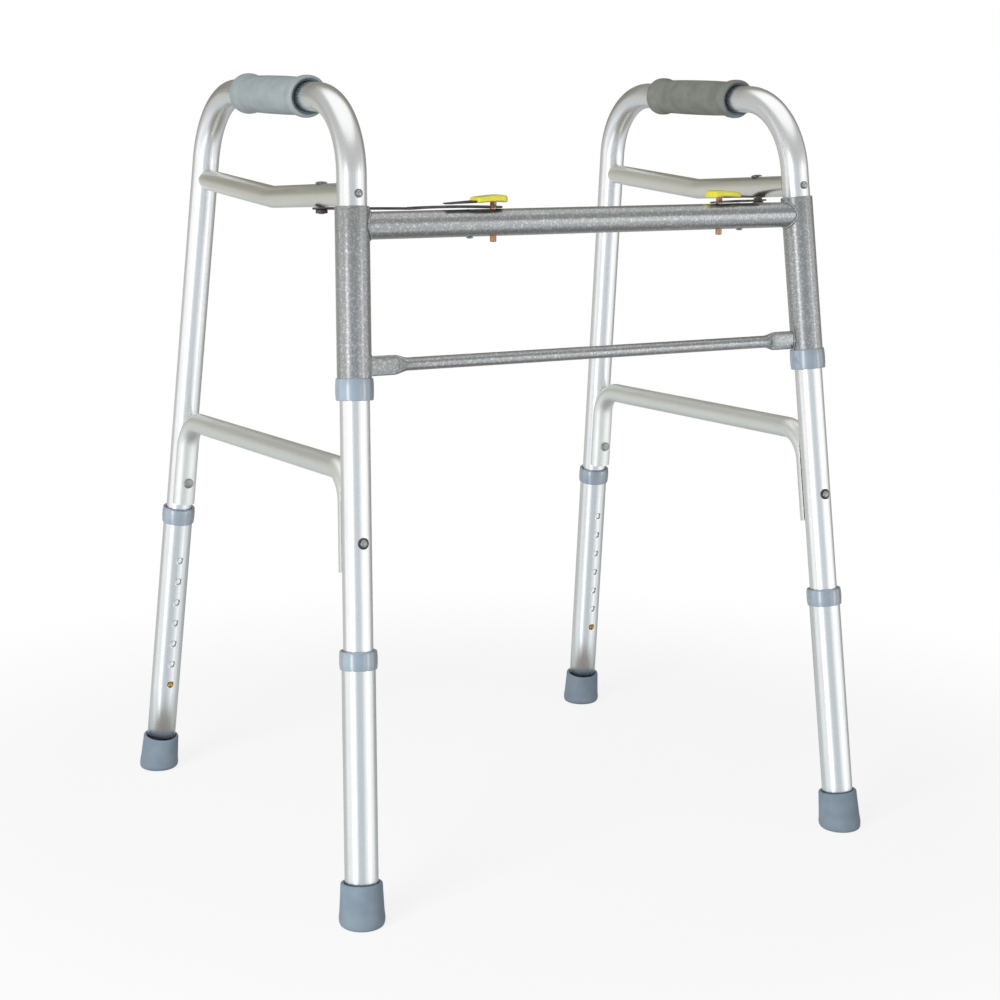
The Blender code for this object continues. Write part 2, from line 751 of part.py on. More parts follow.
def build_rail(side, parent, paint, screw_front, front_in, screw_rear, rear_in):
    """Round rail with one kink; its closed ends are hollowed to sit on the uprights."""
    name = SIDE_NAME[side]
    normal = plane_normal(side)
    kink = in_plane(side, RAIL_KINK_Y, RAIL_KINK_Z)
    path = [screw_front - kink, Vector((0.0, 0.0, 0.0)), screw_rear - kink]
    rail = add_piece("side_rail_" + name, swept(path, normal, RAIL_R), kink, parent, paint)
    clear = TUBE_R + GAP
    front = hinge_direction(side)
    rear = rear_direction(side)
    copes = [
        rod(screw_front - front * 0.04, screw_front + front * 0.04, clear, ROUND),
        rod(screw_rear - rear * 0.04, screw_rear + rear * 0.04, clear, ROUND),
    ]
    cut_piece(rail, "rail_copes_" + name, copes)
    first = screw_front + (kink - screw_front).normalized() * 0.034
    last = screw_rear + (kink - screw_rear).normalized() * 0.034
    cut_piece(rail, "rail_bore_" + name, [swept([first, kink, last], normal, RAIL_BORE)])
    bolt, _, _, up, _ = link_frame(side)
    holes = [
        rod(bolt - up * 0.010, bolt + up * 0.040, 0.0031),
        rod(screw_front, screw_front + front_in * 0.0270, 0.0026),
        rod(screw_rear, screw_rear + rear_in * 0.0270, 0.0026),
    ]
    cut_piece(rail, "rail_holes_" + name, holes)


def brace_shape(path, normal, uprights):
    """Round tube whose legs are flattened and pressed hollow where they lie along an upright.

    Seen along an upright, n runs inwards from its axis and u across: n = max(n, sqrt(clear^2 - u^2)).
    """
    points, faces = swept(path, normal, BRACE_R, BRACE_BORE)
    bend_steps = len(path) / 2.0 - 2.0
    shaped = []
    for i, p in enumerate(points):
        ring = i // (2 * ROUND)
        wall = (BRACE_R - BRACE_BORE) * ((i // ROUND) % 2)
        from_middle = abs(ring - (len(path) - 1) / 2.0) - 0.5
        leg = min(1.0, from_middle / bend_steps)
        off = p - path[ring]
        across = normal * off.dot(normal)
        widened = across * (1.0 + BRACE_WIDEN * leg)
        p = path[ring] + widened + (off - across) * (1.0 - BRACE_FLATTEN * leg)
        clear = TUBE_R + BRACE_CLEAR + wall
        for foot, inwards in uprights:
            u = (p - foot).dot(normal)
            n = (p - foot).dot(inwards)
            if abs(u) < clear:
                p = p + inwards * max(0.0, math.sqrt(clear * clear - u * u) - n)
        shaped.append(p)
    return shaped, faces


def build_brace(side, parent, paint, rivet_front, front_in, rivet_rear, rear_in):
    """Inverted U of tube between the uprights of one side."""
    name = SIDE_NAME[side]
    normal = plane_normal(side)
    front = hinge_direction(side)
    rear = rear_direction(side)
    front_line = front_axis(side, BRACE_FRONT_END) + front_in * BRACE_OFFSET
    rear_line = rear_axis(side, BRACE_REAR_END) + rear_in * BRACE_OFFSET
    level_point = in_plane(side, LEAN * BRACE_FRONT_Z, BRACE_FRONT_Z)
    level = in_plane(side, REAR_FOOT_Y - REAR_LEAN * BRACE_REAR_Z, BRACE_REAR_Z) - level_point
    corners = [
        front_line,
        crossing(front_line, front, level_point, level.normalized()),
        crossing(rear_line, rear, level_point, level.normalized()),
        rear_line,
    ]
    path = rounded(corners, BRACE_BEND, 5)
    uprights = [(front_axis(side, 0.0), front_in), (rear_axis(side, 0.0), rear_in)]
    points, faces = brace_shape(path, normal, uprights)
    local = [p - front_line for p in points]
    brace = add_piece("brace_" + name, (local, faces), front_line, parent, paint)
    holes = [
        rod(rivet_front + front_in * 0.010, rivet_front + front_in * 0.045, 0.0027),
        rod(rivet_rear + rear_in * 0.010, rivet_rear + rear_in * 0.045, 0.0027),
    ]
    cut_piece(brace, "brace_holes_" + name, holes)


# Legs
def build_leg(side, rear, frame_parent, metals, plastics):
    """Leg tube with its collar and tip, and the sprung button that holds it."""
    aluminium, brass, spring_steel = metals
    collar_plastic, rubber = plastics
    name = SIDE_NAME[side] + ("_rear" if rear else "_front")
    axis_at = rear_axis if rear else front_axis
    along = rear_direction(side) if rear else hinge_direction(side)
    tall = 1.0 / along.z
    outward = inward(side, rear)
    button_z = REAR_BUTTON_Z if rear else FRONT_BUTTON_Z
    top_z = REAR_LEG_TOP if rear else FRONT_LEG_TOP
    foot = axis_at(side, 0.0)
    slide = make_parent("leg_slide_" + name, foot, frame_parent)

    low = LEG_BOTTOM * tall
    high = top_z * tall
    tube = [(LEG_BORE, low), (LEG_R, low), (LEG_R, high), (LEG_BORE, high)]
    leg = add_piece("leg_tube_" + name, turned(tube), foot, slide, aluminium, along)
    start = axis_at(side, button_z)
    holes = []
    for k in range(HOLE_COUNT):
        at = start + along * (HOLE_PITCH * k)
        holes.append(rod(at + outward * 0.010, at + outward * 0.020, BUTTON_R + 0.0005))
    cut_piece(leg, "leg_holes_" + name, holes)

    clear = LEG_R + GAP
    collar = [
        (clear, high - LEG_COLLAR_BELOW),
        (COLLAR_R - 0.0008, high - LEG_COLLAR_BELOW),
        (COLLAR_R, high - LEG_COLLAR_BELOW + 0.0010),
        (COLLAR_R, high + LEG_COLLAR_ABOVE - 0.0010),
        (COLLAR_R - 0.0008, high + LEG_COLLAR_ABOVE),
        (LEG_BORE, high + LEG_COLLAR_ABOVE),
        (LEG_BORE, high + GAP),
        (clear, high + GAP),
    ]
    add_piece("leg_collar_" + name, turned(collar), foot, slide, collar_plastic, along)

    tip = [
        (0.0, -0.0080),
        (TIP_BOTTOM_R, -0.0080),
        (TIP_BOTTOM_R, 0.0045),
        (TIP_BOTTOM_R - 0.0008, 0.0065),
        (TIP_TOP_R, TIP_HEIGHT - 0.0010),
        (TIP_TOP_R - 0.0010, TIP_HEIGHT),
        (clear, TIP_HEIGHT),
        (clear, low - GAP),
        (0.0, low - GAP),
    ]
    tip_obj = add_piece("leg_tip_" + name, turned(tip), foot, slide, rubber, along)
    reach = Vector((0.05, 0.05, 0.05))
    under = box(foot - reach, foot + Vector((0.05, 0.05, 0.0)))
    cut_piece(tip_obj, "floor_cut_" + name, [under])

    button = [
        (0.0, 0.0077),
        (0.0050, 0.0077),
        (0.0050, 0.0092),
        (BUTTON_R, 0.0092),
        (BUTTON_R, 0.0172),
        (0.0024, 0.0181),
        (0.0, 0.0184),
    ]
    button_parent = make_parent("button_slide_" + name, start, frame_parent)
    add_piece("snap_button_" + name, turned(button, 12), start, button_parent, brass, outward)
    leaf = [
        (0.0070, -0.0080),
        (0.0070, 0.0080),
        (0.0040, 0.0290),
        (0.0005, 0.0355),
        (-0.0045, 0.0355),
        (-0.0085, 0.0290),
        (-0.0116, 0.0060),
        (-0.0116, -0.0080),
    ]
    leaf_shape = strip(leaf, 0.0060, 0.0007)
    spring = add_piece("snap_spring_" + name, leaf_shape, start, frame_parent, spring_steel)
    across = along.cross(outward)
    spring.rotation_mode = "QUATERNION"
    spring.rotation_quaternion = Matrix((outward, across, along)).transposed().to_quaternion()


def build():
    clear_scene()
    aluminium = make_material("satin_aluminium", (0.80, 0.81, 0.82), 0.32, 1.0)
    vein_paint = make_material("vein_paint", (0.33, 0.35, 0.37), 0.45, 0.5)
    rail_paint = make_material("warm_grey_metal", (0.52, 0.51, 0.45), 0.40, 0.6)
    grip_foam = make_material("grip_vinyl", (0.30, 0.34, 0.37), 0.75)
    collar_plastic = make_material("collar_plastic", (0.33, 0.43, 0.55), 0.45)
    rubber = make_material("tip_rubber", (0.22, 0.29, 0.35), 0.65)
    dark_steel = make_material("dark_steel", (0.10, 0.09, 0.09), 0.45, 0.8)
    bolt_steel = make_material("zinc_steel", (0.45, 0.46, 0.47), 0.35, 1.0)
    spring_steel = make_material("spring_steel", (0.30, 0.31, 0.33), 0.35, 1.0)
    copper = make_material("copper_pin", (0.62, 0.33, 0.18), 0.35, 1.0)
    brass = make_material("brass", (0.60, 0.42, 0.18), 0.35, 1.0)
    yellow = make_material("yellow_vinyl", (0.85, 0.80, 0.03), 0.45)

    root = make_parent("cross_assembly", (0.0, 0.0, 0.0))
    build_cross_assembly(root, vein_paint, collar_plastic, bolt_steel)
    for side in (-1, 1):
        name = SIDE_NAME[side]
        fold = make_parent("fold_" + name, front_axis(side, CROSSBAR_Z), root)
        build_side_frame(side, fold, aluminium, grip_foam, rail_paint, bolt_steel)
        build_link_bolt(side, fold, bolt_steel)
        build_link(side, fold, dark_steel)
        build_lever(side, root, dark_steel, yellow)
        build_latch(side, root, copper, spring_steel)
        for rear in (False, True):
            build_leg(side, rear, fold, (aluminium, brass, spring_steel), (collar_plastic, rubber))
    root.location.y = -CENTRE_Y


build()
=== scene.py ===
# %% [markdown]
# # Looks of a folding walking frame
# The CAD model is the fixed frame of this scene. It says where each tube, grip and screw
# is and which moving body it belongs to.

# %% Open the frame
import json
import math

import bmesh
import bpy
import numpy as np
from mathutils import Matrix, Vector


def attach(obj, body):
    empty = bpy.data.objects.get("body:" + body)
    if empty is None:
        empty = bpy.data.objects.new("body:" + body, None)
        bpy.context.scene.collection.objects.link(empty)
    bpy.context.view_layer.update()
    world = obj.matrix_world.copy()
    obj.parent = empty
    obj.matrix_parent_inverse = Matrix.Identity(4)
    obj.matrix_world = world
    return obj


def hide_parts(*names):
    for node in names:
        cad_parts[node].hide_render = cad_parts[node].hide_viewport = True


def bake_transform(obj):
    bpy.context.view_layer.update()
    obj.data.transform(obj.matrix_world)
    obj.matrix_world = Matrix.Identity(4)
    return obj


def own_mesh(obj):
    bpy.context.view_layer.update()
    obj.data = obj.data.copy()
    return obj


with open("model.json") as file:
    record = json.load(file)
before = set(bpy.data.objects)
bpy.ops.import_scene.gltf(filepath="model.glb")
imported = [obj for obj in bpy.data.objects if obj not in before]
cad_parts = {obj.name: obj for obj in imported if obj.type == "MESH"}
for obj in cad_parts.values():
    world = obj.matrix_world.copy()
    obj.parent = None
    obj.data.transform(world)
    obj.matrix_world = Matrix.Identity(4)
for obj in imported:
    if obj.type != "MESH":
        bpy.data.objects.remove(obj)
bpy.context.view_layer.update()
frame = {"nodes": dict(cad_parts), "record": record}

body_lists = frame["record"]["behaviour"]["bodies"]
BODY_OF = {node: body for body, nodes in body_lists.items() for node in nodes}
SLOT_OF = {name: node.material_slots[0].material.name for name, node in frame["nodes"].items()}
SIDES = {-1: "left", 1: "right"}
ENDS = {False: "front", True: "rear"}
UPRIGHTS = [(side, rear, f"{SIDES[side]}_{ENDS[rear]}") for side in SIDES for rear in ENDS]

# %% [markdown]
# ## Where things are
# A side frame is one flat shape that leans inwards. Every point in it follows from a depth behind
# the front foot and a height above the floor, so the same few numbers as in the CAD place the
# new pieces exactly where the plain solids are.

# %% The plane of a side frame
FRONT_FOOT_Y = -0.26955
FOOT_X = 0.2864
SPLAY = 0.040
LEAN = 0.103
TOE = 0.0126
REAR_FOOT_DEPTH = 0.5390
REAR_LEAN = 0.150
SMALL_GAP = 0.0003


def unit(vector):
    return np.asarray(vector, float) / np.linalg.norm(vector)


def in_plane(side, depth, height):
    """x = side (foot - splay * height + toe * (depth - lean * height)), y = depth + front foot."""
    x = FOOT_X - SPLAY * height + TOE * (depth - LEAN * height)
    return np.array([side * x, depth + FRONT_FOOT_Y, height])


def upright(side, rear, height):
    """Point on the middle line of the front or rear upright at a height."""
    depth = REAR_FOOT_DEPTH - REAR_LEAN * height if rear else LEAN * height
    return in_plane(side, depth, height)


def upright_direction(side, rear):
    return unit(upright(side, rear, 1.0) - upright(side, rear, 0.0))


def plane_normal(side):
    """Unit vector across the side frame, towards +X on both sides."""
    between_feet = upright(side, True, 0.0) - upright(side, False, 0.0)
    across = np.cross(upright_direction(side, False), between_feet)
    return unit(across) * np.sign(across[0])


def inward(side, rear):
    """In the frame's plane, square to an upright, towards the other upright."""
    level = unit(np.cross(upright_direction(side, rear), plane_normal(side)))
    return level * np.sign(level[1]) * (-1.0 if rear else 1.0)


for side, rear, name in UPRIGHTS:
    print(name, "foot", upright(side, rear, 0.0).round(4))

# %% [markdown]
# ## Turning formulas into meshes
# Most of this object is tube: a circle carried along a path. A surface is kept as a grid of
# points, rows along the path and columns around it. The last column repeats the first, so that
# the flat pattern space (the UV map) can run right round in metres, and the doubled points are
# merged afterwards. Working on whole arrays keeps a fine mesh quick to make.

# %% Grid to mesh
SHARP_ANGLE = math.radians(38)
MERGE_DISTANCE = 2e-6


def grid_faces(rows, columns):
    """Four-sided faces between neighbouring points of a grid."""
    i, j = np.meshgrid(np.arange(rows - 1), np.arange(columns - 1), indexing="ij")
    corner = i * columns + j
    ring = [corner, corner + 1, corner + columns + 1, corner + columns]
    return np.stack(ring, axis=-1).reshape(-1, 4)


def lengths_along(path):
    """Length of the path up to each of its points."""
    return np.concatenate([[0.0], np.cumsum(np.linalg.norm(np.diff(path, axis=0), axis=1))])


def flat_pattern(grid):
    """UV in metres: u = length round the middle row, v = mean length along the columns."""
    u = lengths_along(grid[len(grid) // 2])
    steps = np.linalg.norm(np.diff(grid, axis=0), axis=2).mean(axis=1)
    v = np.concatenate([[0.0], np.cumsum(steps)])
    return np.stack(np.broadcast_arrays(u[None, :], v[:, None]), axis=-1)


def skin(*grids):
    """(points, faces, uv) of grids joined row after row into one surface."""
    grid = np.concatenate(grids)
    return grid, grid_faces(grid.shape[0], grid.shape[1]), flat_pattern(grid)


def add_object(name, data):
    made = bpy.data.objects.new(name, data)
    bpy.context.scene.collection.objects.link(made)
    return made


def mend(mesh, fresh=True):
    """Doubles merged; a fresh surface also loses its empty faces and is turned outwards."""
    work = bmesh.new()
    work.from_mesh(mesh)
    bmesh.ops.remove_doubles(work, verts=work.verts, dist=MERGE_DISTANCE)
    if fresh:
        bmesh.ops.dissolve_degenerate(work, edges=work.edges, dist=MERGE_DISTANCE)
        bmesh.ops.recalc_face_normals(work, faces=work.faces)
    work.to_mesh(mesh)
    work.free()


def mesh_object(name, *parts):
    """One object from (points, faces, uv) parts."""
    points = np.concatenate([p.reshape(-1, 3) for p, _, _ in parts])
    uv = np.concatenate([w.reshape(-1, 2) for _, _, w in parts])
    starts = np.cumsum([0] + [p.size // 3 for p, _, _ in parts[:-1]])
    faces = np.concatenate([f + start for (_, f, _), start in zip(parts, starts)])
    mesh = bpy.data.meshes.new(name)
    mesh.from_pydata(points, [], faces)
    corners = np.zeros(len(mesh.loops), np.int32)
    mesh.loops.foreach_get("vertex_index", corners)
    layer = mesh.uv_layers.new(name="flat_pattern")
    layer.uv.foreach_set("vector", uv[corners].astype(np.float32).ravel())
    mend(mesh)
    mesh.shade_smooth()
    mesh.set_sharp_from_angle(angle=SHARP_ANGLE)
    return add_object(name, mesh)


# %% Hand a piece to its body
def dress(made, node, finish, stands_in=True):
    """Gives finish, body and slot; a piece that stands in for its CAD node also replaces it."""
    made.data.materials.append(finish)
    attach(made, BODY_OF[node])
    if stands_in:
        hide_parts(node)
    return made


# %% [markdown]
# ## Three ways to make a shape
# A turned shape is a profile spun about a line, such as a collar or a screw head. A swept shape
# is a circle along a path, such as the bent side tube. Corners of a profile and bends of a path
# are both rounded first, because no moulded or bent edge on the real object is a perfect corner.

# %% Rounded lines
CORNER_REACH = 0.45


def soften(line, radius, steps=4):
    """Each inner corner becomes a quadratic curve: (1-t)^2 a + 2 t (1-t) corner + t^2 b."""
    line = np.asarray(line, float)
    t = np.linspace(0.0, 1.0, steps + 1)[:, None]
    made = [line[:1]]
    for last, corner, following in zip(line[:-2], line[1:-1], line[2:]):
        reach_a = min(radius, CORNER_REACH * np.linalg.norm(last - corner))
        reach_b = min(radius, CORNER_REACH * np.linalg.norm(following - corner))
        a = corner + unit(last - corner) * reach_a
        b = corner + unit(following - corner) * reach_b
        made.append((1 - t) ** 2 * a + 2 * t * (1 - t) * corner + t**2 * b)
    return np.concatenate(made + [line[-1:]])


def bent_path(corners, radius, steps):
    """Each inner corner becomes an arc: centre + (start sin((1-t)w) + end sin(tw)) / sin w."""
    corners = np.asarray(corners, float)
    t = np.linspace(0.0, 1.0, steps + 1)[:, None]
    made = [corners[:1]]
    for last, corner, following in zip(corners[:-2], corners[1:-1], corners[2:]):
        u = unit(last - corner)
        v = unit(following - corner)
        half = math.acos(np.clip(u @ v, -1.0, 1.0)) / 2.0
        turn = math.pi - 2.0 * half
        centre = corner + unit(u + v) * (radius / math.sin(half))
        start = corner + u * (radius / math.tan(half)) - centre
        end = corner + v * (radius / math.tan(half)) - centre
        arc = start * np.sin((1 - t) * turn) + end * np.sin(t * turn)
        made.append(centre + arc / math.sin(turn))
    return np.concatenate(made + [corners[-1:]])


def smooth_through(stations, steps=6):
    """Cubic between neighbouring stations, whose slope at each is the chord of its neighbours."""
    stations = np.asarray(stations, float)
    slope = np.gradient(stations, axis=0)
    t = np.linspace(0.0, 1.0, steps, endpoint=False)[None, :, None]
    p, q = stations[:-1, None], stations[1:, None]
    m, n = slope[:-1, None], slope[1:, None]
    places = (2 * t**3 - 3 * t**2 + 1) * p + (3 * t**2 - 2 * t**3) * q
    slopes = (t**3 - 2 * t**2 + t) * m + (t**3 - t**2) * n
    curve = places + slopes
    return np.concatenate([curve.reshape(-1, stations.shape[1]), stations[-1:]])


# %% Turned and swept surfaces
FINE = 64


def full_turn(segments):
    return np.linspace(0.0, 2.0 * math.pi, segments + 1)


def turned(profile, origin, direction, segments=FINE):
    """Point = origin + z direction + r (cos a first + sin a second), for each (r, z)."""
    profile = np.asarray(profile, float)
    helper = (0.0, 1.0, 0.0) if abs(direction[1]) < 0.9 else (1.0, 0.0, 0.0)
    first = unit(np.cross(helper, direction))
    second = np.cross(direction, first)
    a = full_turn(segments)[None, :, None]
    r = profile[:, 0, None, None]
    z = profile[:, 1, None, None]
    return np.asarray(origin, float) + z * direction + r * (np.cos(a) * first + np.sin(a) * second)


def swept(path, normal, radius, segments=FINE):
    """Point = path + r (cos a normal + sin a side), side square to the path and the normal."""
    steps = np.diff(path, axis=0)
    steps /= np.linalg.norm(steps, axis=1)[:, None]
    along = np.concatenate([steps[:1], steps]) + np.concatenate([steps, steps[-1:]])
    along /= np.linalg.norm(along, axis=1)[:, None]
    stretch = 1.0 / np.sum(along * np.concatenate([steps, steps[-1:]]), axis=1)
    side = np.cross(along, normal)
    side *= (stretch / np.linalg.norm(side, axis=1))[:, None]
    a = full_turn(segments)[None, :, None]
    return path[:, None, :] + radius * (np.cos(a) * normal + np.sin(a) * side[:, None, :])


def tube(name, outer, inner):
    """Outer and inner surface, joined at both ends by the wall's rims."""
    return mesh_object(name, skin(outer, inner[::-1], outer[:1]))


def slide_to_upright(row, travel, foot, direction, radius):
    """Points + t travel, with t such that the part of the result square to the upright = radius."""
    off = row - foot
    off = off - (off @ direction)[:, None] * direction
    way = travel - (travel @ direction) * direction
    a = way @ way
    b = off @ way
    c = np.sum(off * off, axis=1) - radius * radius
    t = (-b - np.sqrt(np.maximum(b * b - a * c, 0.0))) / a
    return row + t[:, None] * travel


# %% [markdown]
# ## Camera
# The picture looks down a little from the front left, and the far side frame is almost as large
# as the near one. So the lens is long and stands about 2.2 m away. The place, the turn and the
# shift were fitted to the photograph.

# %% Camera
CAMERA_PLACE = (-1.07075, -1.90322, 0.75282)
CAMERA_TURNS = [math.radians(degrees) for degrees in (81.4158, 0.0161, -27.7381)]
camera_data = bpy.data.cameras.new("camera")
camera_data.lens = 72.182
camera_data.sensor_width = 36.0
camera_data.shift_x = 0.06831
camera_data.shift_y = -0.07498
camera = add_object("camera", camera_data)
camera.location = CAMERA_PLACE
camera.rotation_euler = CAMERA_TURNS
bpy.context.scene.camera = camera
bpy.context.scene.view_settings.view_transform = "Standard"
print("camera distance in m", round(math.dist(CAMERA_PLACE, (0.0, 0.0, 0.4)), 3))

# %% [markdown]
# ## A small language for shader nodes
# A finish is a little graph of nodes. One helper adds a node and either sets its sockets or wires
# them to the sockets that are handed in, so each finish below reads as a recipe. Effects that
# several finishes share are node groups with their own inputs and outputs, built once.

# %% Node helpers
def srgb(text):
    """Linear colour of a six-figure hexadecimal screen colour."""
    value = np.array([int(text[i : i + 2], 16) for i in (0, 2, 4)]) / 255.0
    linear = np.where(value <= 0.04045, value / 12.92, ((value + 0.055) / 1.055) ** 2.4)
    return (*linear.tolist(), 1.0)


def fill(tree, socket, value):
    """A socket is linked to another one or set to a plain value."""
    if isinstance(value, bpy.types.NodeSocket):
        tree.links.new(value, socket)
    else:
        socket.default_value = value


def add_node(tree, kind, sockets, **settings):
    node = tree.nodes.new("ShaderNode" + kind)
    for key, value in settings.items():
        setattr(node, key, value)
    for key, value in sockets.items():
        fill(tree, node.inputs[key], value)
    return node


def arithmetic(tree, operation, a, b=0.0, c=0.0):
    return add_node(tree, "Math", {0: a, 1: b, 2: c}, operation=operation).outputs[0]


def noise(tree, pattern, scale, detail=2.0, roughness=0.5):
    sockets = {"Vector": pattern, "Scale": scale, "Detail": detail, "Roughness": roughness}
    return add_node(tree, "TexNoise", sockets)


def spread(tree, value, low, high, to_low=0.0, to_high=1.0):
    """Value moved smoothly from the range low to high into another range, and held there."""
    sockets = {"Value": value, "From Min": low, "From Max": high, "To Min": to_low, "To Max": to_high}
    return add_node(tree, "MapRange", sockets, interpolation_type="SMOOTHSTEP").outputs["Result"]


def blended(tree, share, first, second):
    """Colour that goes from first to second as share goes from 0 to 1."""
    mix = add_node(tree, "Mix", {"Factor": share}, data_type="RGBA")
    fill(tree, mix.inputs[6], first)
    fill(tree, mix.inputs[7], second)
    return mix.outputs[2]


def effect(name, inputs, outputs):
    """Node group with inputs (name: value, or None for a vector) and number outputs."""
    group = bpy.data.node_groups.new(name, "ShaderNodeTree")
    for label, value in inputs.items():
        kind = "NodeSocketVector" if value is None else "NodeSocketFloat"
        socket = group.interface.new_socket(name=label, in_out="INPUT", socket_type=kind)
        if value is not None:
            socket.default_value = value
    for label in outputs:
        group.interface.new_socket(name=label, in_out="OUTPUT", socket_type="NodeSocketFloat")
    return group, group.nodes.new("NodeGroupInput").outputs, group.nodes.new("NodeGroupOutput").inputs


def wired(tree, group, sockets):
    """A group set into a finish; returns its outputs."""
    return add_node(tree, "Group", sockets, node_tree=group).outputs


# %% [markdown]
# ## Shared effects
# Drawn tube has faint lines along its length from the die. Vein paint wrinkles into flecks as it
# dries. Moulded parts have a fine even grain and a slow change of tone. And everything near the
# floor picks up a little dust. Each of these is one group, used by several finishes.

# %% Drawn lines along a tube
inputs = {"Pattern": None, "Lines per metre": 1800.0, "Stretch": 0.012}
drawn_lines, given, result = effect("drawn_lines", inputs, ["Lines", "Patches"])
group = drawn_lines
parted = add_node(group, "SeparateXYZ", {0: given["Pattern"]}).outputs
across = arithmetic(group, "MULTIPLY", parted["X"], given["Lines per metre"])
density = arithmetic(group, "MULTIPLY", given["Lines per metre"], given["Stretch"])
along = arithmetic(group, "MULTIPLY", parted["Y"], density)
stretched = add_node(group, "CombineXYZ", {"X": across, "Y": along}).outputs[0]
fill(group, result["Lines"], spread(group, noise(group, stretched, 1.0, 3.0).outputs["Fac"], 0.3, 0.7))
slow = noise(group, given["Pattern"], 16.0, 4.0).outputs["Fac"]
fill(group, result["Patches"], spread(group, slow, 0.35, 0.7))

# %% Flecks of vein paint
VEIN_WARP = 0.004
vein_flecks, given, result = effect(
    "vein_flecks", {"Pattern": None, "Flecks per metre": 330.0}, ["Fleck", "Height"]
)
group = vein_flecks
pattern, scale = given["Pattern"], given["Flecks per metre"]
warp = noise(group, pattern, arithmetic(group, "MULTIPLY", scale, 0.5)).outputs["Color"]
shift = add_node(group, "VectorMath", {0: warp, 1: (VEIN_WARP,) * 3}, operation="MULTIPLY").outputs[0]
warped = add_node(group, "VectorMath", {0: pattern, 1: shift}, operation="ADD").outputs[0]
sockets = {"Vector": warped, "Scale": scale, "Smoothness": 0.6}
cells = add_node(group, "TexVoronoi", sockets, feature="SMOOTH_F1").outputs["Distance"]
full = arithmetic(group, "SUBTRACT", 1.0, spread(group, cells, 0.15, 0.75))
tone = spread(group, noise(group, warped, scale).outputs["Fac"], 0.42, 0.62)
fill(group, result["Fleck"], arithmetic(group, "MULTIPLY", tone, full))
fill(group, result["Height"], full)

# %% Fine moulded grain
moulded_grain, given, result = effect(
    "moulded_grain", {"Pattern": None, "Grains per metre": 1600.0}, ["Grain", "Mottle"]
)
fine = noise(moulded_grain, given["Pattern"], given["Grains per metre"]).outputs["Fac"]
broad = noise(moulded_grain, given["Pattern"], 60.0, 4.0).outputs["Fac"]
fill(moulded_grain, result["Grain"], spread(moulded_grain, fine, 0.3, 0.7))
fill(moulded_grain, result["Mottle"], spread(moulded_grain, broad, 0.3, 0.7))

# %% Dust near the floor and light handling marks
DUST_TOP = 0.05
floor_dust, given, result = effect("floor_dust", {"Place": None, "Amount": 0.5}, ["Dust", "Marks"])
height = add_node(floor_dust, "SeparateXYZ", {0: given["Place"]}).outputs["Z"]
near_floor = spread(floor_dust, height, 0.0, DUST_TOP, 1.0, 0.0)
clouds = noise(floor_dust, given["Place"], 90.0, 5.0).outputs["Fac"]
cover = arithmetic(floor_dust, "MULTIPLY", near_floor, spread(floor_dust, clouds, 0.35, 0.65))
fill(floor_dust, result["Dust"], arithmetic(floor_dust, "MULTIPLY", cover, given["Amount"]))
rubs = noise(floor_dust, given["Place"], 35.0, 6.0, 0.7).outputs["Fac"]
fill(floor_dust, result["Marks"], spread(floor_dust, rubs, 0.55, 0.72))
print("shared effects", [g.name for g in bpy.data.node_groups])

# %% [markdown]
# ## Finishes
# The side frames are anodised aluminium: a bright grey metal whose reflections are spread along
# fine drawn lines. The rails and braces are the same kind of tube in warmer greys. The cross
# tubes and sleeves carry grey vein paint, where light flecks sit in dark hollows.

# %% Start of a finish
def finish(name, colour, roughness, metallic=0.0, coat=None):
    """New material with its even numbers set straight on the shader, coat = (weight, IOR, roughness)."""
    made = bpy.data.materials.new(name)
    made.use_nodes = True
    shader = made.node_tree.nodes["Principled BSDF"].inputs
    values = {"Base Color": colour, "Roughness": roughness, "Metallic": metallic}
    values.update(zip(("Coat Weight", "Coat IOR", "Coat Roughness"), coat or ()))
    for key, value in values.items():
        shader[key].default_value = value
    made.diffuse_color = colour
    return made, made.node_tree, shader


def coordinates(tree, kind):
    """The surface's own flat pattern in metres (UV), or the place in the object (Object)."""
    return add_node(tree, "TexCoord", {}).outputs[kind]


def raise_surface(tree, shader, height, strength, distance):
    """Small relief: a Bump node between a height and the shader's normal."""
    bump = add_node(tree, "Bump", {"Height": height, "Strength": strength, "Distance": distance})
    fill(tree, shader["Normal"], bump.outputs["Normal"])


# %% Drawn tube finishes
SLID_TOP = {False: 0.247, True: 0.306}
SLID_EDGE = 0.002
# The tone below is the upright inside the leg: painted shade, as seen through the leg's holes.
SLID_SHADE_TONE = srgb("c8cacc")
DUST_TONE = srgb("a8a59c")
LINE_RELIEF = 0.00002


def slid_and_shaded_share(tree):
    """1 where the leg slides on an upright, and 0 above; there the tone is painted darker, as shade seen
    through the leg's holes, and rubbing leaves it a little rougher.
    """
    place = add_node(tree, "SeparateXYZ", {0: coordinates(tree, "Object")}).outputs
    limit = spread(tree, place["Y"], -0.01, 0.01, SLID_TOP[False], SLID_TOP[True])
    below = arithmetic(tree, "SUBTRACT", limit, place["Z"])
    return spread(tree, below, -SLID_EDGE, SLID_EDGE)


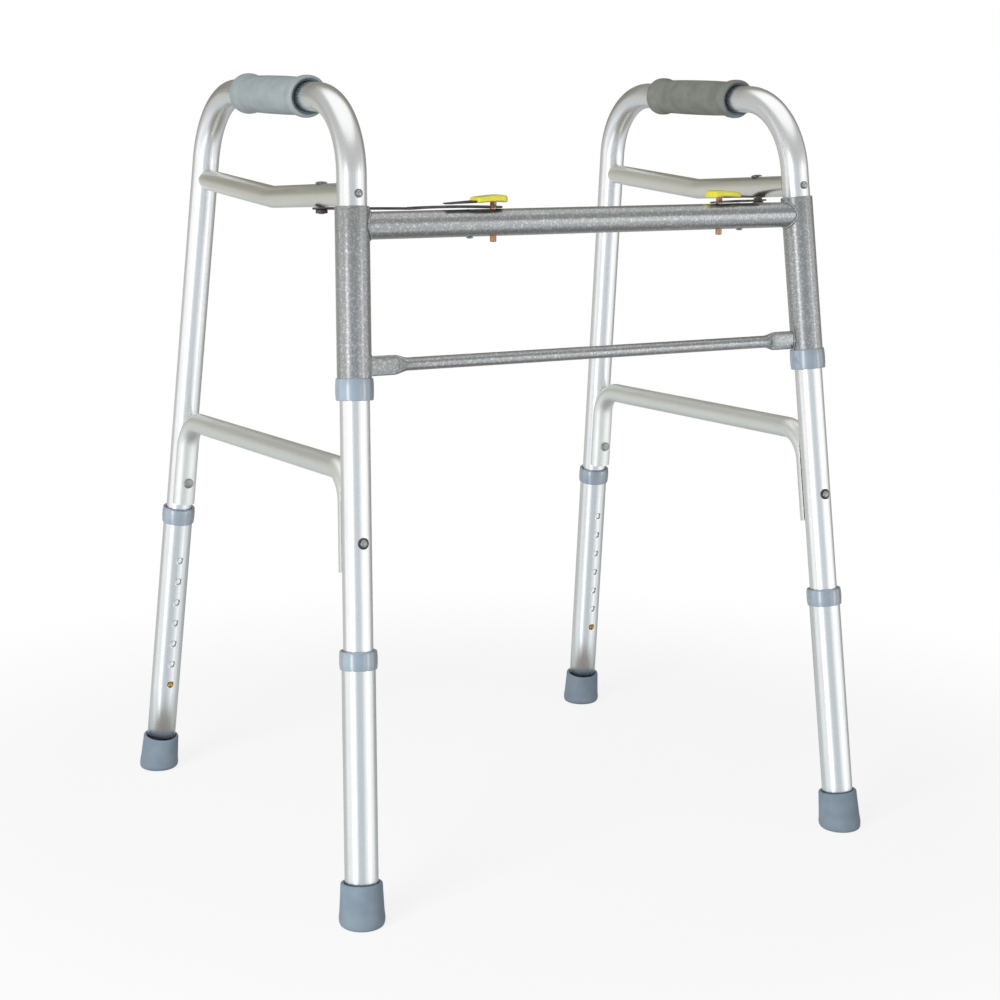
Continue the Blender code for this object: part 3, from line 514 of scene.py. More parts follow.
def drawn_finish(name, light, dark, roughness, line_depth, slid=False, metallic=1.0):
    """Tone goes from light to dark in slow patches; roughness follows the drawn lines."""
    light, dark = (*light, 1.0), (*dark, 1.0)
    made, tree, shader = finish(name, light, roughness[0], metallic)
    lines = wired(tree, drawn_lines, {"Pattern": coordinates(tree, "UV")})
    dust = wired(tree, floor_dust, {"Place": coordinates(tree, "Object"), "Amount": 0.5})
    half_patches = arithmetic(tree, "MULTIPLY", lines["Patches"], 0.5)
    tone = blended(tree, dust["Dust"], blended(tree, half_patches, light, dark), DUST_TONE)
    mix = arithmetic(tree, "MULTIPLY_ADD", lines["Lines"], 0.5, half_patches)
    rough = spread(tree, mix, 0.0, 1.0, *roughness)
    rough = arithmetic(tree, "MULTIPLY_ADD", dust["Marks"], 0.05, rough)
    if slid:
        # Inside the leg the tone is painted darker, as shade; the roughness rises for rubbing.
        rubbed_and_shaded = slid_and_shaded_share(tree)
        tone = blended(tree, arithmetic(tree, "MULTIPLY", rubbed_and_shaded, 0.3), tone, SLID_SHADE_TONE)
        rough = arithmetic(tree, "MULTIPLY_ADD", rubbed_and_shaded, 0.04, rough)
    fill(tree, shader["Base Color"], tone)
    fill(tree, shader["Roughness"], arithmetic(tree, "MULTIPLY_ADD", dust["Dust"], 0.3, rough))
    raise_surface(tree, shader, lines["Lines"], line_depth, LINE_RELIEF)
    return made


bright_tube = drawn_finish("anodised_tube", (0.73, 0.75, 0.76), (0.67, 0.69, 0.70), (0.22, 0.32), 0.10)
upright_tube = drawn_finish(
    "anodised_upright", (0.80, 0.81, 0.83), (0.74, 0.75, 0.77), (0.22, 0.32), 0.10, slid=True
)
warm_tube = drawn_finish(
    "warm_grey_tube", (0.79, 0.785, 0.735), (0.72, 0.715, 0.675), (0.28, 0.38), 0.12
)
satin_brace = drawn_finish("satin_brace", (0.80, 0.82, 0.80), (0.74, 0.76, 0.74), (0.40, 0.50), 0.12)

# %% [markdown]
# Vein paint is a metal paint under a clear coat. Large and small flecks are added up, and they
# drive the tone, the roughness and the relief together. The bore of the leg tubes is plain pale
# metal that scatters the light which reaches it, so it is written as a matt pale finish.

# %% Vein paint and the pale bore
vein_paint, tree, shader = finish("silver_vein_paint", srgb("8f9499"), 0.36, 0.75, (1.0, 2.1, 0.10))
place = coordinates(tree, "Object")
large = wired(tree, vein_flecks, {"Pattern": place, "Flecks per metre": 430.0})
small = wired(tree, vein_flecks, {"Pattern": place, "Flecks per metre": 950.0})
large_share = arithmetic(tree, "MULTIPLY", large["Fleck"], 0.8)
both = arithmetic(tree, "MULTIPLY_ADD", small["Fleck"], 0.35, large_share)
fill(tree, shader["Base Color"], blended(tree, both, srgb("7a7c7d"), srgb("b2b7bb")))
fill(tree, shader["Roughness"], spread(tree, both, 0.0, 1.0, 0.42, 0.26))
heights = arithmetic(tree, "MULTIPLY_ADD", small["Height"], 0.3, large["Height"])
raise_surface(tree, shader, heights, 0.35, 0.00012)
pale_bore = drawn_finish("pale_bore", (0.93, 0.94, 0.94), (0.88, 0.89, 0.89), (0.7, 0.9), 0.05, metallic=0.0)
print("vein paint nodes", len(tree.nodes))

# %% [markdown]
# The grips are soft foam vinyl with a skin, the collars hard moulded plastic in grey blue, the
# tips dull rubber and the thumb pads steel dipped in yellow vinyl. They differ mostly in how
# rough they are and in how deep the grain is, so one recipe makes them all.

# %% Moulded finishes
MOULDED_DUST = srgb("aaa79d")


def moulded_finish(name, light, dark, roughness, grains, relief, dust_amount=0.0, coat=None):
    """Tone mottled from light to dark, with darker pits of fine grain and dust near the floor."""
    light, dark = srgb(light), srgb(dark)
    made, tree, shader = finish(name, light, roughness, 0.0, coat)
    place = coordinates(tree, "Object")
    grain = wired(tree, moulded_grain, {"Pattern": place, "Grains per metre": grains})
    dust = wired(tree, floor_dust, {"Place": place, "Amount": dust_amount})
    toned = blended(tree, grain["Mottle"], light, dark)
    pitted = blended(tree, arithmetic(tree, "MULTIPLY", grain["Grain"], 0.25), toned, dark)
    fill(tree, shader["Base Color"], blended(tree, dust["Dust"], pitted, MOULDED_DUST))
    rough = spread(tree, grain["Grain"], 0.0, 1.0, roughness - 0.04, roughness + 0.06)
    fill(tree, shader["Roughness"], arithmetic(tree, "MULTIPLY_ADD", dust["Marks"], 0.08, rough))
    raise_surface(tree, shader, grain["Grain"], relief, 0.0002)
    return made


# The right grip's finish is a darker copy of the left one's. Its darker tone is painted shade, for the
# dimmer light on that side.
GRIP_LIT_AND_SHADED = {
    -1: moulded_finish("grip_foam_skin", "a4aeb1", "959fa2", 0.66, 1500.0, 0.35),
    1: moulded_finish("grip_foam_painted_shade", "8f918b", "7b7d77", 0.70, 1500.0, 0.4),
}
# The cut foam of the grip ends is darker than the skin: partly its own tone, partly painted shade on the end
# faces.
foam_end_and_shade = moulded_finish("cut_foam_painted_shade", "6c7a82", "5c676e", 0.85, 900.0, 0.1)
collar_moulding = moulded_finish(
    "collar_moulding", "91a3b4", "8697a8", 0.34, 2600.0, 0.06, 0.1, (1.0, 2.2, 0.07)
)
tip_rubber = moulded_finish("tip_rubber_dull", "8e9fae", "8494a3", 0.62, 1900.0, 0.25, 0.16)
thumb_vinyl = moulded_finish("thumb_pad_vinyl", "f4ee45", "e9e238", 0.30, 900.0, 0.05, coat=(0.4,))


# %% Metal fittings
def fitting_finish(name, light, dark, roughness, metallic=1.0):
    """Small turned or pressed metal: mottled plating with a fine grain."""
    light, dark = srgb(light), srgb(dark)
    made, tree, shader = finish(name, light, roughness, metallic)
    sockets = {"Pattern": coordinates(tree, "Object"), "Grains per metre": 1200.0}
    grain = wired(tree, moulded_grain, sockets)
    fill(tree, shader["Base Color"], blended(tree, grain["Mottle"], light, dark))
    rough = spread(tree, grain["Mottle"], 0.0, 1.0, roughness - 0.06, roughness + 0.1)
    fill(tree, shader["Roughness"], rough)
    raise_surface(tree, shader, grain["Grain"], 0.12, 0.00005)
    return made


dark_coat = fitting_finish("dark_coated_steel", "5c5654", "444040", 0.42, 0.6)
spring_wire = fitting_finish("spring_wire", "8c8f93", "6d7074", 0.35)
FINISH_OF = {
    "satin_aluminium": bright_tube,
    "vein_paint": vein_paint,
    "warm_grey_metal": warm_tube,
    "grip_vinyl": GRIP_LIT_AND_SHADED[-1],
    "collar_plastic": collar_moulding,
    "tip_rubber": tip_rubber,
    "dark_steel": dark_coat,
    "zinc_steel": fitting_finish("zinc_plate", "b4b7b7", "939697", 0.34),
    "spring_steel": spring_wire,
    "copper_pin": fitting_finish("copper_plate", "d0a184", "b08263", 0.36, 0.7),
    "brass": fitting_finish("brass_button", "bf9a5e", "a37f45", 0.34),
    "yellow_vinyl": thumb_vinyl,
}
for node_name, node in frame["nodes"].items():
    node.material_slots[0].material = FINISH_OF[SLOT_OF[node_name]]
print("finishes", sorted(m.name for m in FINISH_OF.values()))

# %% [markdown]
# ## Side frames
# Each side frame is one length of 28.6 mm tube, bent twice into an inverted U. A circle swept
# along the path of its middle line is just what a tube bender makes. The bore is a second, inner
# sweep, joined to the outer one at the two cut ends.

# %% Side frames
TUBE_R = 0.0143
TUBE_BORE = 0.0127
TOP_FRONT_HEIGHT = 0.7750
TOP_RISE = 0.031
TOP_BEND = 0.082
FRONT_TUBE_END = 0.0300
REAR_TUBE_END = 0.0750


def top_corners(side):
    """The two corners in which the middle lines of the uprights meet the top line."""
    height = TOP_FRONT_HEIGHT + TOP_RISE * (REAR_FOOT_DEPTH - LEAN * TOP_FRONT_HEIGHT)
    rear_height = height / (1.0 + TOP_RISE * REAR_LEAN)
    return upright(side, False, TOP_FRONT_HEIGHT), upright(side, True, rear_height)


for side, name in SIDES.items():
    feet = upright(side, False, FRONT_TUBE_END), upright(side, True, REAR_TUBE_END)
    path = bent_path([feet[0], *top_corners(side), feet[1]], TOP_BEND, 40)
    normal = plane_normal(side)
    made = tube("frame_tube_" + name, swept(path, normal, TUBE_R), swept(path, normal, TUBE_BORE))
    dress(made, "side_frame_" + name, upright_tube)
    print(made.name, "length in m", round(float(lengths_along(path)[-1]), 3))

# %% [markdown]
# ## Handgrips
# The grip is a foam tube with a skin, pushed over the top bar. It swells a little in the middle
# and has a rounded bead at each end. Its end faces show the cut foam, in a darker tone that
# also paints the shade on them. A turned profile through a few measured radii gives all that.
# The front bead leans over the bend of the bar.

# %% Handgrips
GRIP_DEPTH = 0.248
GRIP_HALF = 0.076
BEAD_RADIUS = 0.0206
GRIP_TOP_R = 0.0208
GRIP_STATIONS = [
    (0.0147, 0.0728),
    (0.0153, 0.0741),
    (0.0165, 0.0752),
    (0.0182, 0.0759),
    (0.0197, 0.0756),
    (BEAD_RADIUS, 0.0738),
    (GRIP_TOP_R, 0.0700),
    (0.0205, 0.0655),
    (0.0196, 0.0618),
    (0.0187, 0.0590),
    (0.0185, 0.0555),
    (0.0187, 0.0480),
    (0.0190, 0.0340),
    (0.0192, 0.0160),
]
half_profile = np.array(GRIP_STATIONS)
grip_profile = smooth_through(np.concatenate([half_profile, half_profile[::-1] * (1.0, -1.0)]), 5)
grip_profile[:, 0] = np.minimum(grip_profile[:, 0], GRIP_TOP_R)
grip_profile[:, 1] = np.clip(grip_profile[:, 1], -GRIP_HALF, GRIP_HALF)
CORE_R = 0.0180
CORE_FROM = 0.0710
FRONT_LEAN = 0.0034
LEAN_LENGTH = 0.022


def show_core(made, middle, level):
    """Faces of the two ends get the darker finish of the cut foam, which also paints the shade on them."""
    centres = np.zeros(len(made.data.polygons) * 3)
    made.data.polygons.foreach_get("center", centres)
    off = centres.reshape(-1, 3) - middle
    along = off @ level
    radius = np.linalg.norm(off - along[:, None] * level, axis=1)
    inside = (np.abs(along) > CORE_FROM) & (radius < CORE_R)
    made.data.materials.append(foam_end_and_shade)
    made.data.polygons.foreach_set("material_index", inside.astype(np.int32))


def lean_front_end(grid, middle, level):
    """The top of the front bead runs on over the bend: shift = lean * share^2 * height / radius."""
    along = (grid - middle) @ level
    above = np.clip((grid - middle)[..., 2] / BEAD_RADIUS, -0.2, 1.0)
    share = np.clip((-along - (GRIP_HALF - LEAN_LENGTH)) / LEAN_LENGTH, 0.0, 1.0)
    return grid - (FRONT_LEAN * share**2 * above)[..., None] * level


for side, name in SIDES.items():
    top_front, top_rear = top_corners(side)
    share = (GRIP_DEPTH + FRONT_FOOT_Y - top_front[1]) / (top_rear[1] - top_front[1])
    middle = top_front + (top_rear - top_front) * share
    level = unit(top_rear - top_front)
    outer = lean_front_end(turned(grip_profile, middle, level), middle, level)
    made = mesh_object("handgrip_" + name, skin(outer, outer[:1]))
    dress(made, "grip_" + name, GRIP_LIT_AND_SHADED[side])
    show_core(made, middle, level)
    print(made.name, "largest radius in mm", round(1000 * float(grip_profile[:, 0].max()), 1))

# %% [markdown]
# ## Side rails
# A thinner tube joins the uprights below the grip and carries the bolt of the lock link. It has
# one sharp kink, and its ends are cut hollow to fit the uprights. The end rows of the sweep slide
# along the tube until they touch the upright, which is exactly that hollow cut.

# %% Side rails
RAIL_R = 0.0111
RAIL_BORE = 0.0096
RAIL_FRONT_HEIGHT = 0.6863
RAIL_KINK = (0.2500, 0.6782)
RAIL_REAR_HEIGHT = 0.6919
KINK_RADIUS = 0.020
END_ROOM = 0.030


def coped_tube(path, side, radius):
    """Swept tube with its first and last rows slid along it on to the two uprights."""
    grid = swept(path, plane_normal(side), radius, 48)
    for row, neighbour, rear in ((0, 1, False), (-1, -2, True)):
        travel = unit(path[row] - path[neighbour])
        start = grid[row] - travel * END_ROOM
        foot, direction = upright(side, rear, 0.0), upright_direction(side, rear)
        grid[row] = slide_to_upright(start, travel, foot, direction, TUBE_R + SMALL_GAP)
    return grid


for side, name in SIDES.items():
    ends = upright(side, False, RAIL_FRONT_HEIGHT), upright(side, True, RAIL_REAR_HEIGHT)
    path = bent_path([ends[0], in_plane(side, *RAIL_KINK), ends[1]], KINK_RADIUS, 6)
    made = tube("rail_tube_" + name, coped_tube(path, side, RAIL_R), coped_tube(path, side, RAIL_BORE))
    dress(made, "side_rail_" + name, warm_tube)
    print(made.name, "faces", len(made.data.polygons))

# %% [markdown]
# ## Lower braces
# The brace is an inverted U whose legs lie against the uprights. Where they lie, the tube is
# pressed hollow to a saddle. So the sweep is widened and flattened towards its legs, and every
# point that would sink into an upright is pushed out to its surface, as the press does.

# %% Lower braces
BRACE_R = 0.0111
BRACE_BORE = 0.0097
BRACE_HEIGHTS = {False: 0.4270, True: 0.4215}
BRACE_ENDS = {False: 0.3330, True: 0.3280}
BRACE_BEND = 0.034
BRACE_OFFSET = 0.0125
BRACE_WIDEN = 0.12
BRACE_FLATTEN = 0.08
BRACE_CLEAR = 0.0006
LEG_ROWS = 14
ARC_STEPS = 24


def crossing(point_a, along_a, point_b, along_b):
    """Point on line a nearest to line b: a + t along_a, t = ((b - a) x along_b) . n / |n|^2."""
    across = np.cross(along_a, along_b)
    t = np.cross(point_b - point_a, along_b) @ across / (across @ across)
    return point_a + along_a * t


def pressed(path, leg_share, side, radius):
    """Swept tube, widened by leg share and pushed hollow: n = max(n, sqrt(clear^2 - u^2))."""
    normal = plane_normal(side)
    off = swept(path, normal, radius) - path[:, None, :]
    across = (off @ normal)[..., None] * normal
    wide = across * (1.0 + BRACE_WIDEN * leg_share)
    grid = path[:, None, :] + wide + (off - across) * (1.0 - BRACE_FLATTEN * leg_share)
    clear = TUBE_R + BRACE_CLEAR + BRACE_R - radius
    for rear in ENDS:
        away = inward(side, rear)
        local = grid - upright(side, rear, 0.0)
        u = local @ normal
        push = np.maximum(0.0, np.sqrt(np.maximum(clear * clear - u * u, 0.0)) - local @ away)
        grid = grid + np.where(np.abs(u) < clear, push, 0.0)[..., None] * away
    return grid


def brace_path(side):
    """(path, leg share): legs along the uprights, arcs and a level middle; share falls on the arcs."""
    lines = [upright(side, rear, BRACE_ENDS[rear]) + inward(side, rear) * BRACE_OFFSET for rear in ENDS]
    level_point = upright(side, False, BRACE_HEIGHTS[False])
    level = unit(upright(side, True, BRACE_HEIGHTS[True]) - level_point)
    knees = [
        crossing(line, upright_direction(side, rear), level_point, level)
        for line, rear in zip(lines, ENDS)
    ]
    path = bent_path([lines[0], *knees, lines[1]], BRACE_BEND, ARC_STEPS)
    t = np.linspace(0.0, 1.0, LEG_ROWS, endpoint=False)[:, None]
    first = path[0] + (path[1] - path[0]) * t
    last = (path[-1] + (path[-2] - path[-1]) * t)[::-1]
    arc = np.linspace(1.0, 0.0, ARC_STEPS + 1)
    share = np.concatenate([np.ones(LEG_ROWS), arc, arc[::-1], np.ones(LEG_ROWS)])
    return np.concatenate([first, path[1:-1], last]), share[:, None, None]


for side, name in SIDES.items():
    path, share = brace_path(side)
    walls = [pressed(path, share, side, radius) for radius in (BRACE_R, BRACE_BORE)]
    made = tube("brace_tube_" + name, *walls)
    dress(made, "brace_" + name, satin_brace)
    print(made.name, "faces", len(made.data.polygons))

# %% [markdown]
# ## Cross tubes and sleeves
# The two side frames turn in short sleeves, and the sleeves are welded to a thick and a thin
# cross tube. The thin one is pressed flat at its ends before it is welded. Each is a row of
# ovals, because its section can change, and both ends slide on to the round sleeves.

# %% Cross tubes
CROSSBAR_HEIGHT = 0.6568
CROSSBAR_R = 0.0132
CROSSBAR_BORE = 0.0116
LOWER_BAR_HEIGHT = 0.5255
LOWER_BAR_R = 0.00635
LOWER_BAR_WALL = 0.0012
FLAT_HALF_HEIGHT = 0.0096
FLAT_HALF_THICKNESS = 0.0024
FLAT_LENGTH = 0.042
PRESS_LENGTH = 0.014
BAR_END = 0.25
BAR_START = 0.20
SLEEVE_R = 0.0165
ACROSS = np.array([1.0, 0.0, 0.0])
UP = np.array([0.0, 0.0, 1.0])


def bar_middle(height):
    return np.array([0.0, LEAN * height + FRONT_FOOT_Y, height])


def cross_tube(height, half_high, half_thick, stations):
    """Rows across X: y = thick(x) cos a, z = high(x) sin a; the end rows slide on to the sleeves."""
    a = full_turn(FINE)[None, :]
    x = np.broadcast_to(stations[:, None], (len(stations), FINE + 1))
    oval = [x, half_thick[:, None] * np.cos(a), half_high[:, None] * np.sin(a)]
    grid = bar_middle(height) + np.stack(oval, axis=-1)
    for row, side in ((0, -1), (-1, 1)):
        start = grid[row] * (0.0, 1.0, 1.0) + ACROSS * side * BAR_START
        foot, direction = upright(side, False, 0.0), upright_direction(side, False)
        grid[row] = slide_to_upright(start, ACROSS * side, foot, direction, SLEEVE_R + SMALL_GAP)
    return grid


stations = np.concatenate([[-BAR_END], np.linspace(-0.2, 0.2, 41), [BAR_END]])
even = np.ones(len(stations))
upper = [cross_tube(CROSSBAR_HEIGHT, even * r, even * r, stations) for r in (CROSSBAR_R, CROSSBAR_BORE)]
dress(tube("cross_tube_upper", *upper), "crossbar_upper", vein_paint)

press_end = upright(1, False, LOWER_BAR_HEIGHT)[0] - FLAT_LENGTH
ramp = np.linspace(press_end - PRESS_LENGTH, press_end, 9)
middle_part = np.linspace(-ramp[0], ramp[0], 31)[1:-1]
stations = np.concatenate([[-BAR_END], -ramp[::-1], middle_part, ramp, [BAR_END]])
share = np.clip((np.abs(stations) - ramp[0]) / PRESS_LENGTH, 0.0, 1.0)
share = share * share * (3.0 - 2.0 * share)
high = LOWER_BAR_R + (FLAT_HALF_HEIGHT - LOWER_BAR_R) * share
thick = LOWER_BAR_R + (FLAT_HALF_THICKNESS - LOWER_BAR_R) * share
lower = [cross_tube(LOWER_BAR_HEIGHT, high - w, thick - w, stations) for w in (0.0, LOWER_BAR_WALL)]
dress(tube("cross_tube_lower", *lower), "crossbar_lower", vein_paint)
span = float(upper[0][-1, :, 0].min() - upper[0][0, :, 0].max())
print("cross tubes, mm between sleeves", round(1000 * span, 1))

# %% Sleeves
SLEEVE_TOP = 0.6750
SLEEVE_BOTTOM = 0.5000
SEAM_LIFT = 0.05
for side, name in SIDES.items():
    direction = upright_direction(side, False)
    length = (SLEEVE_TOP - SLEEVE_BOTTOM) / direction[2]
    bore = TUBE_R + SMALL_GAP
    edges = [(bore, SEAM_LIFT), (bore, 0.0), (SLEEVE_R, 0.0), (SLEEVE_R, length), (bore, length)]
    profile = soften([*edges, edges[0]], 0.0006)
    grid = turned(profile, upright(side, False, SLEEVE_BOTTOM), direction)
    dress(mesh_object("sleeve_tube_" + name, skin(grid)), "sleeve_" + name, vein_paint)

# %% [markdown]
# ## Weld beads
# Each cross tube is welded to its sleeve all round. A bead is a soft ring that follows the
# curve in which the two tubes meet, with a ripple for every drop of weld metal. It is a tube on
# that curve, whose radius swings with the ripples.

# %% Weld beads
BEAD_R = 0.0013
RIPPLE_LENGTH = 0.0026


def weld_bead(ring, centre, side):
    """Torus on a closed curve: p = c + r(s) (cos b out + sin b back), r = R (0.92 + 0.16 |sin|)."""
    curve = smooth_through(ring, 3)
    lengths = lengths_along(curve)
    ripples = round(float(lengths[-1]) / RIPPLE_LENGTH)
    along = np.gradient(curve, axis=0)
    along[0] = along[-1] = (along[0] + along[-1]) / 2.0
    along /= np.linalg.norm(along, axis=1)[:, None]
    out = (curve - centre) * (0.0, 1.0, 1.0)
    out /= np.linalg.norm(out, axis=1)[:, None]
    back = np.cross(along, out)
    wave = np.abs(np.sin(math.pi * ripples * lengths / lengths[-1]))
    radius = BEAD_R * (0.92 + 0.16 * wave)[:, None, None]
    b = full_turn(16)[None, :, None]
    core = curve + out * BEAD_R * 0.15 - ACROSS * side * BEAD_R * 0.25
    return core[:, None, :] + radius * (np.cos(b) * out[:, None] + np.sin(b) * back[:, None])


for row, side in ((0, -1), (-1, 1)):
    for bar, place, height in ((upper, "upper", CROSSBAR_HEIGHT), (lower, "lower", LOWER_BAR_HEIGHT)):
        bead = weld_bead(bar[0][row], bar_middle(height), side)
        made = mesh_object(f"weld_{place}_{SIDES[side]}", skin(bead))
        dress(made, "crossbar_" + place, vein_paint, stands_in=False)
        print(made.name, "faces", len(made.data.polygons))

# %% [markdown]
# ## Collars
# A plastic collar closes the foot of each sleeve and the top of each leg tube. They are the same
# moulding: a short barrel with rounded rims and a lip that covers the cut end of the tube. The
# profile is turned after its corners are rounded by about a millimetre.

# %% Collars
COLLAR_R = 0.0183
COLLAR_TAPER = 0.0005
SLEEVE_COLLAR = (-0.0055, 0.0, 0.0155)
LEG_R = 0.0162
LEG_BORE = 0.0146
LEG_TOPS = {False: 0.2568, True: 0.3163}
LEG_CAP_BELOW = 0.0143
LEG_CAP_ABOVE = 0.0035


def collar_profile(tube_r, bore, low, end, high):
    """Closed (r, z) profile from low to high; the lip covers the tube's end by the nearer rim."""
    inside = tube_r + SMALL_GAP
    outside = [(COLLAR_R - COLLAR_TAPER, low), (COLLAR_R, low + (high - low) * 0.3)]
    outside += [(COLLAR_R, low + (high - low) * 0.7), (COLLAR_R - COLLAR_TAPER, high)]
    if high - end < end - low:
        lip = end + SMALL_GAP
        rest = [(bore, high), (bore, lip), (inside, lip), (inside, low)]
    else:
        lip = end - SMALL_GAP
        rest = [(inside, high), (inside, lip), (bore, lip), (bore, low)]
    ring = outside + rest
    start = (np.array(ring[0]) + np.array(ring[-1])) / 2.0
    return soften([start, *ring, start], 0.0013, 5)


sleeve_collar = collar_profile(SLEEVE_R, TUBE_R + SMALL_GAP, *SLEEVE_COLLAR)
for side, name in SIDES.items():
    grid = turned(sleeve_collar, upright(side, False, SLEEVE_BOTTOM), upright_direction(side, False))
    dress(mesh_object("sleeve_cap_" + name, skin(grid)), "sleeve_collar_" + name, collar_moulding)
for side, rear, name in UPRIGHTS:
    direction = upright_direction(side, rear)
    end = LEG_TOPS[rear] / direction[2]
    profile = collar_profile(LEG_R, LEG_BORE, end - LEG_CAP_BELOW, end, end + LEG_CAP_ABOVE)
    made = mesh_object("leg_cap_" + name, skin(turned(profile, upright(side, rear, 0.0), direction)))
    dress(made, "leg_collar_" + name, collar_moulding)

# %% [markdown]
# ## Leg tubes
# The legs slide on the uprights, and a row of holes, an inch apart, takes the sprung button. The
# tube is laid out flat first, as a sheet with round holes, and the sheet is then rolled up. Round
# each hole the faces run in rings from a circle out to a square, so the rim stays truly round.
# Solidify gives the rolled sheet its wall and the holes their depth.

# %% Flat sheet with round holes
LEG_BOTTOM = 0.0075
HOLE_PITCH = 0.0254
HOLE_COUNT = 7
HOLE_R = 0.0038
PATCH = 0.0058
PATCH_STEPS = 8
RIM_ROW = 0.0008
BUTTON_HEIGHTS = {False: 0.0545, True: 0.1090}


def flat_grid(s, t):
    """(flat points, faces) of a plain grid over the values s and t."""
    flat = np.stack(np.meshgrid(t, s, indexing="ij")[::-1], axis=-1)
    return flat.reshape(-1, 2), grid_faces(len(t), len(s))


def hole_patch(middle):
    """Square with a round hole: point = circle + (square - circle) m, m = 0, 1/3, 2/3, 1."""
    edge = np.linspace(-PATCH, PATCH, PATCH_STEPS, endpoint=False)
    full = np.full(PATCH_STEPS, PATCH)
    pairs = ((edge, -full), (full, edge), (-edge, full), (-full, -edge))
    square = np.concatenate([np.stack(pair, axis=1) for pair in pairs])
    square = np.concatenate([square, square[:1]])
    circle = HOLE_R * square / np.linalg.norm(square, axis=1)[:, None]
    m = np.linspace(0.0, 1.0, 4)[:, None, None]
    rings = circle + (square - circle) * m + (0.0, middle)
    return rings.reshape(-1, 2), grid_faces(4, len(square))


def rolled(flat, faces, foot, direction, hole_side):
    """Point = foot + t direction + R (cos(s / R) hole side + sin(s / R) the other side)."""
    s, t = flat[:, 0, None], flat[:, 1, None]
    around = np.cos(s / LEG_R) * hole_side + np.sin(s / LEG_R) * np.cross(direction, hole_side)
    return foot + t * direction + LEG_R * around, faces, flat


# %% Leg tubes
for side, rear, name in UPRIGHTS:
    direction = upright_direction(side, rear)
    low, end, first = np.array([LEG_BOTTOM, LEG_TOPS[rear], BUTTON_HEIGHTS[rear]]) / direction[2]
    holes = first + HOLE_PITCH * np.arange(HOLE_COUNT)
    s_patch = np.linspace(-PATCH, PATCH, PATCH_STEPS + 1)
    s_rest = np.linspace(PATCH, 2.0 * math.pi * LEG_R - PATCH, 41)
    t_rows = np.concatenate([[low], *(h + s_patch for h in holes), [end - RIM_ROW, end]])
    edges = np.concatenate([[low], np.stack([holes - PATCH, holes + PATCH], axis=1).ravel(), [end]])
    sheets = [flat_grid(s_rest, t_rows)]
    for below, above in edges.reshape(-1, 2):
        rim = [above - RIM_ROW] if above == end else []
        sheets.append(flat_grid(s_patch, np.array([below, *rim, above])))
    sheets += [hole_patch(h) for h in holes]
    foot = upright(side, rear, 0.0)
    parts = [rolled(*sheet, foot, direction, inward(side, rear)) for sheet in sheets]
    made = mesh_object("leg_sheet_" + name, *parts)
    wall = made.modifiers.new("wall", "SOLIDIFY")
    wall.thickness = LEG_R - LEG_BORE
    wall.offset = -1.0
    wall.material_offset = 1
    wall.material_offset_rim = 0
    dress(made, "leg_tube_" + name, bright_tube)
    made.data.materials.append(pale_bore)
    print(made.name, "faces", len(made.data.polygons), "holes", len(holes))

# %% [markdown]
# ## Rubber tips
# A tip is a deep rubber cup, a little wider at the foot. Its rim is rounded and its sole, which
# the leaning leg presses flat on the floor, has ring grooves for grip. The turned shape follows
# the leg, and then the lowest rows are slid along it to their height above the floor.

# %% Rubber tips
TIP_HEIGHT = 0.0410
TIP_TOP_R = 0.0202
TIP_BOTTOM_R = 0.0223
BLEND_FROM = 0.0110
GROOVE_DEPTH = 0.0014
GROOVES = (0.0165, 0.0135, 0.0105, 0.0075)
GROOVE = ((0.0010, 0.0), (0.0006, GROOVE_DEPTH), (-0.0006, GROOVE_DEPTH), (-0.0010, 0.0))
SOLE_EDGE = ((0.0006, 0.0028), (0.0014, 0.0014), (0.0025, 0.0005), (0.0036, 0.0))
side_line = [
    (LEG_R + SMALL_GAP, LEG_BOTTOM),
    (LEG_R + SMALL_GAP, TIP_HEIGHT),
    (TIP_TOP_R, TIP_HEIGHT),
    (TIP_TOP_R + 0.0002, TIP_HEIGHT - 0.0060),
    (TIP_BOTTOM_R - 0.0007, 0.0130),
    (TIP_BOTTOM_R, 0.0080),
    (TIP_BOTTOM_R - 0.0002, 0.0046),
]
side_line = soften(side_line, 0.0024, 6)
sole = [(TIP_BOTTOM_R - inset, z) for inset, z in SOLE_EDGE]
sole += [(groove + off, z) for groove in GROOVES for off, z in GROOVE]
sole = np.array(sole + [(0.0, 0.0)])


def to_floor(grid, profile, share, direction):
    """Rows slid along the leg by share of the way to their profile height above the floor."""
    missing = share * (profile[:, 1, None] - grid[..., 2])
    return grid + (missing / direction[2])[..., None] * direction


def rubber_tip(side, rear):
    """Turned cup; the outer rows below BLEND_FROM go over from along the leg to above the floor."""
    direction = upright_direction(side, rear)
    foot = upright(side, rear, 0.0)
    share = np.clip((BLEND_FROM - side_line[:, 1, None]) / BLEND_FROM, 0.0, 1.0)
    share = np.where(side_line[:, 0, None] > LEG_R + 0.001, share, 0.0)
    walls = to_floor(turned(side_line, foot, direction), side_line, share, direction)
    bottom = to_floor(turned(sole, foot, direction), sole, 1.0, direction)
    inner_end = turned([(0.0, LEG_BOTTOM / direction[2] - SMALL_GAP)], foot, direction)
    return skin(inner_end, walls, bottom)


for side, rear, name in UPRIGHTS:
    made = mesh_object("rubber_tip_" + name, rubber_tip(side, rear))
    dress(made, "leg_tip_" + name, tip_rubber)
    lowest = min(v.co.z for v in made.data.vertices)
    print(made.name, "lowest point in mm", round(1000 * lowest, 3))

# %% [markdown]
# ## Screws, rivets and buttons
# These are all turned parts: a domed head, a shank and an end. Small as they are, they catch a
# point of light each, so their domes are smooth curves. A pressed ring seats each head on the
# round tube; its dark plating paints the shade round the head. The button is a round-nosed pin
# that stands out of its hole in the leg.

